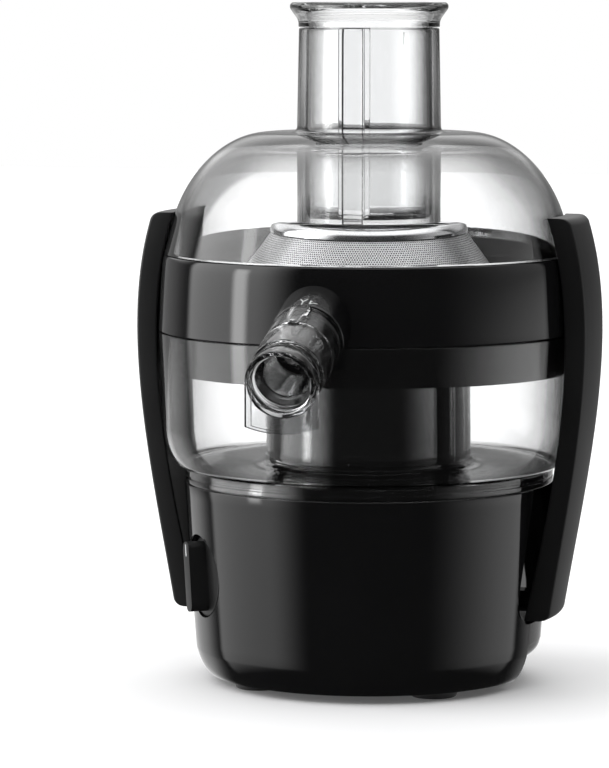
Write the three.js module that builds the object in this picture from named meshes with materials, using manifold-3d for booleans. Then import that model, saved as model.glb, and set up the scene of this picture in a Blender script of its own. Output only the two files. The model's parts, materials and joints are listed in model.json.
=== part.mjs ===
// A centrifugal juicer in millimetres: +Z up, the spout towards -Y, a clamp on each side at -X and +X.
// Most pieces are turned about one upright main axis, and each is a closed solid of its own.
import * as THREE from 'three';
import { mergeVertices } from 'three/addons/utils/BufferGeometryUtils.js';
import Module from 'manifold-3d';

const wasm = await Module();
wasm.setup();

// Clearances that every piece shares
const seatGap = 0.3;
const slideGap = 0.5;
const cutOverrun = 8;

// Facets and curve steps, which are counts
const wideFacets = 36;
const middleFacets = 24;
const smallFacets = 12;
const tinyFacets = 8;
const curveSteps = 4;

// Angles
const quarterTurn = Math.PI / 2;
const halfTurn = Math.PI;
const fullTurn = Math.PI * 2;
const degree = Math.PI / 180;
const half = 0.5;

// Rubber feet
const footRadius = 10.9;
const footTaper = 1.2;
const footHeight = 3.2;
const footStemRadius = 2.6;
const footInset = 14.6;
const footCount = 4;

// Base shells
const baseHeight = 84;
const baseTopRadius = 80.6;
const baseWaistInset = 2.7;
const baseWaistShare = 0.529;
const baseFootInset = 5.2;
const baseEdgeHeight = 11.5;
const baseEdgeRound = 5.8;
const baseOpeningLip = 1.6;
const shellWall = 2.8;
const deckLedgeDepth = 3.2;
const deckLedgeHeight = 2.4;
const shellSeamOffset = 13;
const cordGrooveHeight = 8.8;
const cordGrooveDepth = 12;
const rearEdgeRadius = 6.5;

// Deck and its neck
const deckThickness = 3;
const neckRadius = 41.5;
const neckWall = 2.5;
const neckHeight = 54.5;
const neckShoulder = 3.5;
const plateauDrop = 0.3;

// Bottom plate
const plateThickness = 3;
const plateRearInset = 3.6;
const upstandWall = 2.4;
const ventCount = 8;
const ventLength = 16;
const ventWidth = 3.2;
const ventInnerRadius = 14;
const fixingInset = 4.1;
const fixingSpread = 28 * degree;
const fixingBossRadius = 5;
const fixingHoleRadius = 1.8;
const fixingScrewRadius = 1.5;
const fixingScrewLength = 16;
const fixingHeadRadius = 3;
const fixingHeadHeight = 1.5;

// Pulp container
const containerOverNeck = 11;
const containerFlare = 10.9;
const containerTaper = 1.9;
const containerBellyHeight = 26;
const containerShoulderInset = 5.4;
const containerShoulderHeight = 7.6;
const containerFootHeight = 6;
const containerFootWidth = 3.2;
const containerWall = 2.6;
const containerFloorHeight = 7.7;
const chimneyFlare = 6.5;
const chimneyProud = 3.3;

// Juice collector
const collectorLean = 2.6;
const collectorHeight = 33.2;
const collectorRimWall = 2.5;
const collectorWall = 3.2;
const collectorFloor = 2.8;
const skirtHeight = 17.4;
const skirtWall = 2.4;
const skirtTaper = 1.1;
const channelGap = 1.6;
const channelWall = 2.4;
const channelWallHeight = 12.7;
const channelWallDrop = 3;

// Spout and the stub that carries it
const spoutDip = 20.7 * degree;
const stubRise = 8.8;
const stubStartInset = 1.5;
const stubRadius = 15.7;
const stubLength = 8.7;
const stubBore = 8;
const spigotRadius = 11.7;
const spigotLength = 16.5;
const sealGrooveDepth = 1.1;
const sealGrooveWidth = 3;
const sealGrooveSet = 5;
const spoutWall = 3.2;
const spoutNeckDepth = 2;
const spoutMouthInset = 0.8;
const spoutMouthWall = 2.6;
const spoutThroatRise = 1.3;
const spoutBarrelLength = 36;
const spoutNeckLength = 5;
const spoutMouthLength = 5.6;
const spoutFlareLength = 10;
const apronDrop = 17.3;
const apronSag = 2.6;
const apronWall = 2.2;
const apronSet = 1.6;
const apronBand = 2.6;
const latchWidth = 9;
const latchLength = 17;
const latchHeight = 2.6;
const latchLip = 2.2;

// Filter: rim, cone, base and grater
const filterMouthRadius = 43.2;
const filterMouthRise = 50.7;
const filterRimHalfWidth = 4.4;
const filterRimHeight = 4.7;
const filterRimWall = 0.9;
const coneTopInset = 0.8;
const coneFootRadius = 62.6;
const coneWall = 0.8;
const coneHeight = 28;
const filterRingWidth = 5.2;
const filterRingProud = 1.2;
const filterRingHeight = 4.8;
const filterPlateRadius = 36;
const filterPlateThickness = 1.6;
const filterHubRadius = 14;
const filterHubHeight = 9.2;
const filterSocketDepth = 5.6;
const filterSpokeWidth = 4;
const filterSpokeHeight = 3;
const filterSpokeCount = 6;
const graterInset = 0.5;
const graterThickness = 1.2;
const graterHoleRadius = 5;
const graterBossRadius = 4.6;
const graterBossHeight = 4;
const toothRadius = 1.1;
const toothHeight = 1.7;
const toothSink = 0.3;
const toothRowStart = 13;
const toothRowStep = 6;
const toothRowCounts = [8, 12, 16, 20];

// Lid: dome and feed tube
const domeHeight = 52.3;
const domeSideHeight = 16.2;
const domeShoulderInset = 4.3;
const domeTopRadius = 44;
const domeShoulderRise = 18;
const domeShoulderLean = 5.4;
const domeCrownReach = 19;
const domeWall = 3;
const lidLipHeight = 4.8;
const lidLipWall = 2.4;
const tubeRadius = 31.2;
const tubeTaper = 0.8;
const tubeWall = 2.5;
const tubeTopHeight = 97.4;
const tubeFootHeight = 11.5;
const tubeFillet = 3;
const tubeRibWidth = 8.5;
const tubeRibDepth = 2.6;

// Pusher
const pusherGap = 0.6;
const pusherWall = 2;
const pusherTop = 11;
const pusherCollarProud = 0.2;
const pusherFlangeProud = 3.7;
const pusherFlangeHeight = 3.4;
const pusherNeckRise = 6;
const pusherEdge = 2;
const pusherFootRise = 3.5;
const pusherGrooveWall = 1.8;

// Clamps and their pivots
const clampHeadRise = 17.2;
const clampFootDrop = 7;
const clampFootWidth = 32;
const clampHeadWidth = 39.2;
const clampStations = 12;
const clampArcSteps = 2;
const clampFootDepth = 10.7;
const clampFootSet = 7;
const clampLowerProud = 3.4;
const clampLowerDepth = 7.8;
const clampUpperProud = 19.8;
const clampUpperDepth = 9.3;
const clampHeadProud = 10;
const clampHeadDepth = 9.4;
const clampOuterHeightShares = [0, 0.332, 0.711, 1];
const clampInnerHeightShares = [0, 0.3, 0.7, 1];
const clampFootChamfer = 4;
const pivotStandOff = 9.3;
const pivotShare = 0.4012;
const pinRadius = 2;
const pinGap = 0.3;
const pinLength = 18;
const earRadius = 4.5;
const earWidth = 9.4;
const earGap = 0.6;
const pocketDepth = 7.85;
const pocketTopHalfWidth = 18.4;
const pocketHalfWidth = 25.4;
const pocketCornerHalfWidth = 17;
const pocketWideShare = 0.4417;
const pocketNarrowShare = 0.351;
const pocketFootShare = 0.2976;
const pocketWaistShare = 0.91;

// Control knob and its switch
const knobTurn = 36 * degree;
const pointerTurn = 10 * degree;
const knobShare = 0.538;
const knobRadius = 17.6;
const knobRecessDepth = 5.74;
const knobThickness = 3.4;
const knobGripWidth = 7;
const knobGripHeight = 8;
const knobGripLengthShare = 0.86;
const knobSocketDepth = 2;
const spindleRadius = 3;
const spindleLength = 8.6;
const switchSize = 24;
const switchDepth = 16;
const switchSocketDepth = 5;

// Motor
const shaftRadius = 4;
const shaftFoot = 9.5;
const shaftTopInset = 0.7;
const boreGap = 0.3;
const fanGap = 9;
const fanHubRadius = 9;
const fanFoot = 11.5;
const fanHeight = 11;
const fanDisc = 1.8;
const fanBladeCount = 9;
const fanBladeWall = 1.6;
const bearingRadius = 11;
const bearingHeight = 8;
const bracketRingWall = 4;
const bracketHeight = 4;
const bracketArmWidth = 12;
const lowerBracketHeight = 29.5;
const mountRadius = 6;
const mountWaist = 5;
const mountHeight = 12.7;
const pillarRadius = 5.5;
const statorFoot = 62.5;
const statorDrop = 36.5;
const statorGap = 1;
const statorYoke = 8;
const poleDepth = 16;
const poleHalfAngle = 38 * degree;
const poleShoe = 2.6;
const poleNeckWidth = 20;
const throughBoltRadius = 2;
const throughBoltInset = 4;
const throughBoltHead = 3.6;
const throughBoltHeadHeight = 2.6;
const legWidth = 8;
const coilHeight = 6.2;
const coilWidth = 5.6;
const rotorAirGap = 0.8;
const rotorSlotCount = 12;
const rotorSlotDepth = 8;
const rotorSlotWidth = 3.2;
const windingInset = 1.8;
const windingHeight = 7.5;
const windingHubRadius = 6.5;
const commutatorRadius = 12;
const commutatorHeight = 14;
const commutatorFoot = 39.5;
const commutatorSlotWidth = 0.8;
const commutatorSlotDepth = 1.4;
const holderReach = 33;
const holderStart = 14.5;
const holderWidth = 10;
const holderHeight = 11;
const holderWall = 1.7;
const brushLength = 14;
const brushGap = 0.4;
const holderPostLength = 7;
const upperBracketRise = 9;
const couplingRadius = 8;
const couplingFlangeRadius = 11;
const couplingHeight = 13.6;
const couplingFlangeHeight = 3;
const shaftSealRadius = 9;
const shaftSealHeight = 2.4;

// Cord gland
const glandHeight = 20.5;
const glandFlangeRadius = 6.5;
const glandWaistRadius = 4.4;
const glandBore = 3.2;
const glandFlange = 3;
const glandProud = 3.6;
const glandGrip = 2.4;

// Levels, stacked from the floor
const baseFloor = footHeight + seatGap;
const deckTop = baseFloor + baseHeight;
const deckUnder = deckTop - deckThickness;
const plateTop = baseFloor + plateThickness;
const grooveTop = baseFloor + cordGrooveHeight;
const neckTop = deckTop + neckHeight;
const containerFoot = deckTop + seatGap;
const containerTop = neckTop + containerOverNeck;
const collectorFoot = containerTop + seatGap;
const collectorTop = collectorFoot + collectorHeight;
const lidFoot = collectorTop + seatGap;
const filterMouthLevel = neckTop + filterMouthRise;
const tubeTop = lidFoot + tubeTopHeight;
const tubeFoot = lidFoot + tubeFootHeight;
const coneTop = filterMouthLevel - seatGap;
const coneFoot = coneTop - coneHeight;
const filterRingTop = coneFoot - seatGap;
const filterPlateTop = filterRingTop - filterPlateThickness;

// Radii, each from the size that it follows
const baseFootRadius = baseTopRadius - baseFootInset;
const baseWaistRadius = baseTopRadius - baseWaistInset;
const containerRimRadius = baseTopRadius + containerFlare;
const baseOpeningRadius = baseFootRadius - baseEdgeRound;
const plateRadius = baseOpeningRadius - seatGap;
const plateRearRadius = baseOpeningRadius - plateRearInset;
const upstandRadius = plateRearRadius - cordGrooveDepth + upstandWall;
const footCircleRadius = baseOpeningRadius - footInset;
const fixingRadius = baseOpeningRadius - fixingInset;
const rearFixingRadius = plateRearRadius - fixingBossRadius;
const mountReach = upstandRadius - upstandWall - mountRadius;
const fanRadius = mountReach - mountRadius - fanGap;
const containerBellyRadius = containerRimRadius - containerTaper;
const containerShoulderRadius = containerBellyRadius - containerShoulderInset;
const containerFootRadius = baseTopRadius;
const collectorRimRadius = containerRimRadius - collectorLean;
const collectorMouth = collectorRimRadius - collectorRimWall;
const lipRadius = collectorMouth - slideGap;
const domeShoulderRadius = collectorRimRadius - domeShoulderInset;
const tubeTopRadius = tubeRadius - tubeTaper;
const tubeBore = tubeRadius - tubeWall;
const tubeTopBore = tubeTopRadius - tubeWall;
const pusherRadius = tubeTopBore - pusherGap;
const pusherCollarRadius = tubeTopRadius + pusherCollarProud;
const pusherFlangeRadius = pusherCollarRadius + pusherFlangeProud;
const coneTopRadius = filterMouthRadius - coneTopInset;
const filterRingRadius = coneFootRadius + filterRingProud;
const channelWallRadius = filterRingRadius + channelGap + channelWall;
const graterRadius = filterPlateRadius - graterInset;
const stubStartRadius = containerRimRadius - stubStartInset;
const socketBore = spigotRadius + slideGap;
const spoutRadius = socketBore + spoutWall;
const spoutNeckRadius = spoutRadius - spoutNeckDepth;
const spoutMouthRadius = spoutRadius - spoutMouthInset;
const spoutMouthBore = spoutMouthRadius - spoutMouthWall;
const spoutThroatBore = stubBore + spoutThroatRise;
const neckBore = neckRadius - neckWall;
const statorRadius = neckBore - statorGap;
const throughBoltReach = statorRadius - throughBoltInset;
const statorBore = statorRadius - poleDepth;
const rotorRadius = statorBore - rotorAirGap;
const windingRadius = rotorRadius - windingInset;

// Finishes
const finish = (color, roughness, metalness) =>
  new THREE.MeshStandardMaterial({ color, roughness, metalness });
const glossBlack = finish(0x0b0b0c, 0.16, 0);
const satinBlack = finish(0x161617, 0.42, 0);
const innerBlack = finish(0x202022, 0.6, 0);
const rubberBlack = finish(0x111111, 0.85, 0);
const polishedSteel = finish(0xc9cbcd, 0.14, 1);
const meshSteel = finish(0xb4b6b8, 0.35, 1);
const shaftSteel = finish(0x9b9da0, 0.3, 1);
const coreSteel = finish(0x5d6064, 0.5, 1);
const copper = finish(0xb5693a, 0.35, 1);
const brass = finish(0xb89a55, 0.35, 1);
const carbon = finish(0x2b2b2d, 0.7, 0);
const castAluminium = finish(0xa2a5a8, 0.45, 1);
const clear = new THREE.MeshStandardMaterial({
  color: 0xdfe3e4, roughness: 0.05, metalness: 0, transparent: true, opacity: 0.35,
});
const smoke = new THREE.MeshStandardMaterial({
  color: 0x8c9092, roughness: 0.06, metalness: 0, transparent: true, opacity: 0.5,
});

// Profiles: points hold a radius and a height
const at = (radius, height) => new THREE.Vector2(radius, height);
const bend = (start, control, end) =>
  new THREE.QuadraticBezierCurve(start, control, end).getPoints(curveSteps);
const sweep = (start, first, second, end, steps) =>
  new THREE.CubicBezierCurve(start, first, second, end).getPoints(steps);
const ellipse = (centre, width, height, from, to) =>
  new THREE.EllipseCurve(centre.x, centre.y, width, height, from, to, to < from).getPoints(curveSteps);

// Turns a geometry into a solid: vertices are joined and slivers that closed up are dropped.
function solid(geometry) {
  const bare = geometry.clone();
  bare.deleteAttribute('normal');
  bare.deleteAttribute('uv');
  const joined = mergeVertices(bare);
  const index = joined.index.array;
  const corners = [];
  for (let i = 0; i < index.length; i += 3) {
    const [a, b, c] = [index[i], index[i + 1], index[i + 2]];
    if (a !== b && b !== c && c !== a) corners.push(a, b, c);
  }
  const vertProperties = new Float32Array(joined.attributes.position.array);
  const triVerts = new Uint32Array(corners);
  return new wasm.Manifold(new wasm.Mesh({ numProp: 3, vertProperties, triVerts }));
}

// A solid turned about the main axis from a profile, which closes on itself or ends on the axis.
function revolve(profile, facets) {
  const ring = profile.filter((p, i) => i === 0 || p.distanceTo(profile[i - 1]) > 0);
  if (THREE.ShapeUtils.area(ring) < 0) ring.reverse();
  const touchesAxis = ring.some((p) => p.x === 0);
  if (touchesAxis) {
    while (!(ring[0].x === 0 && ring.at(-1).x === 0)) ring.push(ring.shift());
  } else {
    ring.push(ring[0].clone());
  }
  const geometry = new THREE.LatheGeometry(ring, facets);
  geometry.rotateX(quarterTurn);
  return solid(geometry);
}

const ringProfile = (outer, inner, low, high) =>
  [at(inner, low), at(outer, low), at(outer, high), at(inner, high)];
const tube = (outer, inner, low, high, facets) => revolve(ringProfile(outer, inner, low, high), facets);
const disc = (radius, low, high, facets) => revolve(ringProfile(radius, 0, low, high), facets);

// A block between two corners
function block(low, high) {
  const size = new THREE.Vector3().subVectors(high, low);
  const centre = new THREE.Vector3().addVectors(high, low).multiplyScalar(half);
  return solid(new THREE.BoxGeometry(size.x, size.y, size.z).translate(centre.x, centre.y, centre.z));
}
const vec = (x, y, z) => new THREE.Vector3(x, y, z);

// A flat outline given depth along +Z, and the frames that lay it along X or Y
function plate(points, depth, holes = []) {
  const shape = new THREE.Shape(points);
  for (const hole of holes) shape.holes.push(new THREE.Path(hole));
  return new THREE.ExtrudeGeometry(shape, { depth, bevelEnabled: false, curveSegments: tinyFacets });
}
const alongX = new THREE.Matrix4().makeBasis(vec(0, 1, 0), vec(0, 0, 1), vec(1, 0, 0));
const alongY = new THREE.Matrix4().makeBasis(vec(1, 0, 0), vec(0, 0, 1), vec(0, -1, 0));

// A solid's mesh as a geometry, and solids placed by moving that mesh
function geometryOf(shape) {
  const mesh = shape.getMesh();
  const geometry = new THREE.BufferGeometry();
  geometry.setAttribute('position', new THREE.Float32BufferAttribute(mesh.vertProperties, 3));
  geometry.setIndex(new THREE.Uint32BufferAttribute(mesh.triVerts, 1));
  return geometry;
}
const moved = (shape, matrix) => solid(geometryOf(shape).applyMatrix4(matrix));
const turned = (shape, angle) => moved(shape, new THREE.Matrix4().makeRotationZ(angle));
const shifted = (shape, x, y, z) => moved(shape, new THREE.Matrix4().makeTranslation(x, y, z));
const joined = (shapes) => shapes.reduce((whole, shape) => whole.add(shape));
const around = (count, make) => Array.from({ length: count }, (_, i) => make((fullTurn * i) / count, i));

// A rod along X or Y through a point
const rodAlong = (radius, low, high, frame, place) => {
  const geometry = new THREE.CylinderGeometry(radius, radius, high - low, smallFacets);
  geometry.rotateX(quarterTurn).translate(0, 0, (low + high) * half);
  return solid(geometry.applyMatrix4(frame).translate(place.x, place.y, place.z));
};

const juicer = new THREE.Group();

function addPiece(name, shape, material) {
  const geometry = geometryOf(shape);
  geometry.computeVertexNormals();
  const mesh = new THREE.Mesh(geometry, material);
  mesh.name = name;
  juicer.add(mesh);
}

// Outline of the base, from the deck down to the rounded bottom edge
const baseEdgeTop = baseFloor + baseEdgeHeight;
const baseSide = () => bend(
  at(baseFootRadius, baseEdgeTop), at(baseWaistRadius, baseFloor + baseHeight * baseWaistShare),
  at(baseTopRadius, deckTop),
);
const baseEdge = (low, inset) => ellipse(
  at(baseFootRadius - inset, baseEdgeTop), inset, baseEdgeTop - low, -quarterTurn, 0,
);
function wallRadiusAt(height) {
  const side = baseSide();
  const above = Math.max(1, side.findIndex((p) => p.y >= height));
  const [low, high] = [side[above - 1], side[above]];
  return THREE.MathUtils.mapLinear(height, low.y, high.y, low.x, high.x);
}
const pivotLevel = baseFloor + baseHeight * pivotShare;
const pocketRadius = wallRadiusAt(pivotLevel) - pocketDepth;
const pivotRadius = pocketRadius + pivotStandOff;
const knobLevel = baseFloor + baseHeight * knobShare;
const knobRecessRadius = wallRadiusAt(knobLevel) - knobRecessDepth;
const glandLevel = baseFloor + glandHeight;
const glandReach = wallRadiusAt(glandLevel) + glandProud;
const glandInnerReach = wallRadiusAt(glandLevel) - shellWall - glandGrip;
const insetSide = () => baseSide().map((p) => at(p.x - shellWall, p.y));
const ledgeTop = deckUnder - seatGap;
const ledgeFoot = ledgeTop - deckLedgeHeight;
const deckRadius = baseTopRadius - shellWall - seatGap;

// The hollow of a shell above a given level, with the ledge that carries the deck
function shellHollow(opening, lip, low) {
  const inner = insetSide();
  const wallTop = inner.filter((p) => p.y < ledgeFoot - deckLedgeDepth);
  const ledgeWall = inner.at(-1).x;
  return [
    at(0, low - cutOverrun), at(opening, low - cutOverrun), at(opening, low + lip),
    at(inner[0].x - baseOpeningLip, low + lip), ...wallTop,
    at(ledgeWall - deckLedgeDepth, ledgeFoot), at(ledgeWall - deckLedgeDepth, ledgeTop),
    at(ledgeWall, ledgeTop), at(ledgeWall, deckTop + cutOverrun), at(0, deckTop + cutOverrun),
  ];
}

// Pocket that each clamp stands in: a tapered notch with cut corners, grown by a wall for the hollow
function pocket(grow) {
  const top = deckTop + cutOverrun;
  const wide = baseFloor + baseHeight * pocketWideShare;
  const narrow = baseFloor + baseHeight * pocketNarrowShare - grow;
  const foot = baseFloor + baseHeight * pocketFootShare - grow;
  const side = [
    at(pocketTopHalfWidth + grow, top), at(pocketHalfWidth + grow, wide),
    at(pocketHalfWidth * pocketWaistShare + grow, narrow), at(pocketCornerHalfWidth + grow, foot),
  ];
  const outline = [...side, ...side.map((p) => at(-p.x, p.y)).reverse()];
  const depth = containerRimRadius + cutOverrun - pocketRadius + grow;
  const shape = plate(outline.reverse(), depth).applyMatrix4(alongX);
  return solid(shape.translate(pocketRadius - grow, 0, 0));
}

// Frame of the knob: local Z points out of the base
const knobFrame = new THREE.Matrix4().makeRotationZ(halfTurn + knobTurn)
  .multiply(new THREE.Matrix4().makeTranslation(0, 0, knobLevel))
  .multiply(new THREE.Matrix4().makeRotationY(quarterTurn));
const knobLocal = (shape) => moved(shape, knobFrame);
const recessFloorBack = knobRecessRadius - shellWall;
const recess = (grow) => knobLocal(
  disc(knobRadius + slideGap + grow, knobRecessRadius - grow, baseTopRadius + cutOverrun, middleFacets),
);

const fixingPlace = (radius, angle) => [radius * Math.sin(angle), -radius * Math.cos(angle)];
const frontFixings = [-fixingSpread, fixingSpread].map((angle) => fixingPlace(fixingRadius, angle));
const rearFixings = [halfTurn - fixingSpread, halfTurn + fixingSpread]
  .map((angle) => fixingPlace(rearFixingRadius, angle));

// Both shells start from a full turn and are split by the seam plane.
const bothPockets = (grow) => joined([pocket(grow), turned(pocket(grow), halfTurn)]);
const reach = containerRimRadius + cutOverrun;
const aheadOfSeam = block(vec(-reach, -reach, -reach), vec(reach, -shellSeamOffset - seatGap, reach));
const behindSeam = block(vec(-reach, -shellSeamOffset, -reach), vec(reach, reach, reach));

function frontHousing() {
  const skin = revolve([
    at(0, baseFloor), ...baseEdge(baseFloor, baseEdgeRound), ...baseSide(), at(0, deckTop),
  ], wideFacets);
  const hollow = revolve(shellHollow(baseOpeningRadius, plateThickness + seatGap, baseFloor), wideFacets);
  const keepOut = bothPockets(shellWall).add(recess(shellWall));
  let shell = skin.subtract(bothPockets(0)).subtract(recess(0)).subtract(hollow.subtract(keepOut));
  const bossFoot = plateTop + seatGap;
  const bossTop = bossFoot + fixingScrewLength;
  for (const [x, y] of frontFixings) {
    const boss = shifted(disc(fixingBossRadius, bossFoot, bossTop, smallFacets), x, y, 0);
    const hole = shifted(disc(fixingHoleRadius, 0, bossTop - shellWall, tinyFacets), x, y, 0);
    shell = shell.add(boss.intersect(skin)).subtract(hole);
  }
  const endWall = block(
    vec(-reach, -shellSeamOffset - seatGap - shellWall, plateTop + seatGap), vec(reach, reach, grooveTop),
  ).intersect(skin).subtract(disc(upstandRadius, 0, deckTop, wideFacets));
  shell = shell.add(endWall).intersect(aheadOfSeam);
  const spindleHole = knobLocal(disc(spindleRadius + slideGap, 0, baseTopRadius, smallFacets));
  return shell.subtract(spindleHole);
}

function rearHousing() {
  const edgeTop = grooveTop + rearEdgeRadius;
  const edgeCentre = at(baseFootRadius - rearEdgeRadius, edgeTop);
  const skin = revolve([
    at(0, grooveTop), ...ellipse(edgeCentre, rearEdgeRadius, rearEdgeRadius, -quarterTurn, 0),
    ...baseSide().filter((p) => p.y > edgeTop), at(0, deckTop),
  ], wideFacets);
  const hollow = revolve(shellHollow(upstandRadius + seatGap, shellWall, grooveTop), wideFacets);
  let shell = skin.subtract(bothPockets(0)).subtract(hollow.subtract(bothPockets(shellWall)));
  for (const [x, y] of rearFixings) {
    shell = shell.subtract(shifted(disc(fixingHoleRadius, 0, grooveTop + cutOverrun, tinyFacets), x, y, 0));
  }
  for (const angle of [0, halfTurn]) {
    shell = shell.add(turned(pivotEar(), angle)).subtract(turned(pinBore(), angle));
  }
  const glandHole = rodAlong(glandWaistRadius + slideGap, -reach, 0, alongY, vec(0, 0, glandLevel));
  return shell.intersect(behindSeam).subtract(glandHole);
}

// Ear on the pocket's floor that carries the clamp's pin
function pivotEar() {
  const bar = block(
    vec(pocketRadius - shellWall * half, -earWidth * half, pivotLevel - earRadius),
    vec(pivotRadius, earWidth * half, pivotLevel + earRadius),
  );
  const pivot = vec(pivotRadius, 0, pivotLevel);
  const nose = rodAlong(earRadius, -earWidth * half, earWidth * half, alongY, pivot);
  return bar.add(nose);
}
const pinBore = () => rodAlong(
  pinRadius + pinGap, -pinLength * half - pinGap, pinLength * half + pinGap, alongY,
  vec(pivotRadius, 0, pivotLevel),
);

addPiece('front_housing', frontHousing(), glossBlack);
addPiece('rear_housing', rearHousing(), glossBlack);

// Deck with a plateau that fills the container's foot, and the neck that stands inside its chimney
const floorTop = containerFoot + containerFloorHeight;
const floorUnder = floorTop - containerWall;
const plateauTop = floorUnder - plateauDrop;
const plateauRadius = containerFootRadius - containerFootWidth - slideGap;
const plateauUnder = plateauTop - deckThickness;
const topDeck = revolve([
  at(neckBore, plateauUnder), at(plateauRadius - deckThickness, plateauUnder),
  at(plateauRadius - deckThickness, deckUnder), at(deckRadius, deckUnder), at(deckRadius, deckTop),
  at(plateauRadius, deckTop), at(plateauRadius, plateauTop), at(neckRadius, plateauTop),
  at(neckRadius, neckTop - neckShoulder), at(neckRadius - neckShoulder, neckTop),
  at(shaftSealRadius, neckTop), at(shaftSealRadius, neckTop - neckWall),
  at(neckBore - neckShoulder, neckTop - neckWall), at(neckBore, neckTop - neckWall - neckShoulder),
], wideFacets);
addPiece('top_deck', topDeck.subtract(bothPockets(shellWall + seatGap)), satinBlack);

addPiece('shaft_seal', tube(
  shaftSealRadius - seatGap, shaftRadius + slideGap, neckTop - shaftSealHeight, neckTop, smallFacets,
), rubberBlack);

// Bottom plate with its upstand, motor pillars, vents and fixing holes
const mountPlaces = [0, quarterTurn, halfTurn, -quarterTurn]
  .map((angle) => [mountReach * Math.cos(angle), mountReach * Math.sin(angle)]);
const footPlaces = around(footCount, (angle) => {
  const turn = angle + quarterTurn * half;
  return [footCircleRadius * Math.cos(turn), footCircleRadius * Math.sin(turn)];
});
const mountFoot = lowerBracketLevel() - mountHeight - seatGap;
function lowerBracketLevel() {
  return baseFloor + lowerBracketHeight;
}
function bottomPlate() {
  const frontDisc = disc(plateRadius, baseFloor, plateTop, wideFacets).intersect(aheadOfSeam);
  const rearDisc = disc(plateRearRadius, baseFloor, plateTop, wideFacets);
  let body = frontDisc.add(rearDisc);
  const upstandTop = grooveTop + shellWall;
  const root = plateTop - upstandWall;
  body = body.add(tube(upstandRadius, upstandRadius - upstandWall, plateTop, upstandTop, wideFacets));
  const stand = (radius, top, places) => {
    for (const [x, y] of places) body = body.add(shifted(disc(radius, root, top, smallFacets), x, y, 0));
  };
  const drill = (radius, places) => {
    const hole = disc(radius, 0, grooveTop, tinyFacets);
    for (const [x, y] of places) body = body.subtract(shifted(hole, x, y, 0));
  };
  stand(pillarRadius, mountFoot - seatGap, mountPlaces);
  stand(fixingBossRadius, grooveTop - seatGap, rearFixings);
  drill(fixingHoleRadius, [...frontFixings, ...rearFixings]);
  const sink = disc(fixingHeadRadius + seatGap, 0, baseFloor + fixingHeadHeight + seatGap, tinyFacets);
  for (const [x, y] of [...frontFixings, ...rearFixings]) body = body.subtract(shifted(sink, x, y, 0));
  drill(footStemRadius + seatGap, footPlaces);
  const slot = block(
    vec(ventInnerRadius, -ventWidth * half, 0),
    vec(ventInnerRadius + ventLength, ventWidth * half, grooveTop),
  );
  return body.subtract(joined(around(ventCount, (angle) => turned(slot, angle))));
}
addPiece('bottom_plate', bottomPlate(), innerBlack);

footPlaces.forEach(([x, y], i) => {
  const foot = revolve([
    at(0, 0), at(footRadius - footTaper, 0), at(footRadius, footHeight), at(footStemRadius, footHeight),
    at(footStemRadius, plateTop), at(0, plateTop),
  ], smallFacets);
  addPiece(`rubber_foot_${i + 1}`, shifted(foot, x, y, 0), rubberBlack);
});

[...frontFixings, ...rearFixings].forEach(([x, y], i) => {
  const under = baseFloor + fixingHeadHeight;
  const tip = baseFloor + fixingScrewLength;
  const screw = revolve([
    at(0, baseFloor), at(fixingHeadRadius, baseFloor), at(fixingHeadRadius, under), at(fixingScrewRadius, under),
    at(fixingScrewRadius, tip), at(0, tip),
  ], tinyFacets);
  addPiece(`bottom_screw_${i + 1}`, shifted(screw, x, y, 0), shaftSteel);
});

// Pulp container: a clear trough round a chimney
const chimneyBore = neckRadius + slideGap;
const chimneyRadius = chimneyBore + containerWall;
const chimneyTop = neckTop + chimneyProud;
const containerOutline = (inset) => [
  ...bend(
    at(containerShoulderRadius - inset, containerFoot + containerShoulderHeight),
    at(containerBellyRadius - inset, containerFoot + containerShoulderHeight + containerFootHeight),
    at(containerBellyRadius - inset, containerFoot + containerBellyHeight),
  ),
  at(containerRimRadius - inset, containerTop),
];
const containerInside = containerOutline(containerWall);
const pulpContainer = revolve([
  at(containerFootRadius - containerFootWidth, containerFoot), at(containerFootRadius, containerFoot),
  at(containerFootRadius, containerFoot + containerFootHeight), ...containerOutline(0),
  ...containerInside.reverse(), at(containerInside.at(-1).x - containerWall, floorTop),
  ...bend(
    at(chimneyRadius + chimneyFlare, floorTop), at(chimneyRadius, floorTop),
    at(chimneyRadius, floorTop + chimneyFlare),
  ),
  at(chimneyRadius, chimneyTop - containerWall), at(chimneyBore, chimneyTop), at(chimneyBore, floorUnder),
  at(containerFootRadius - containerFootWidth, floorUnder),
], wideFacets);
addPiece('pulp_container', pulpContainer, clear);

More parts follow.
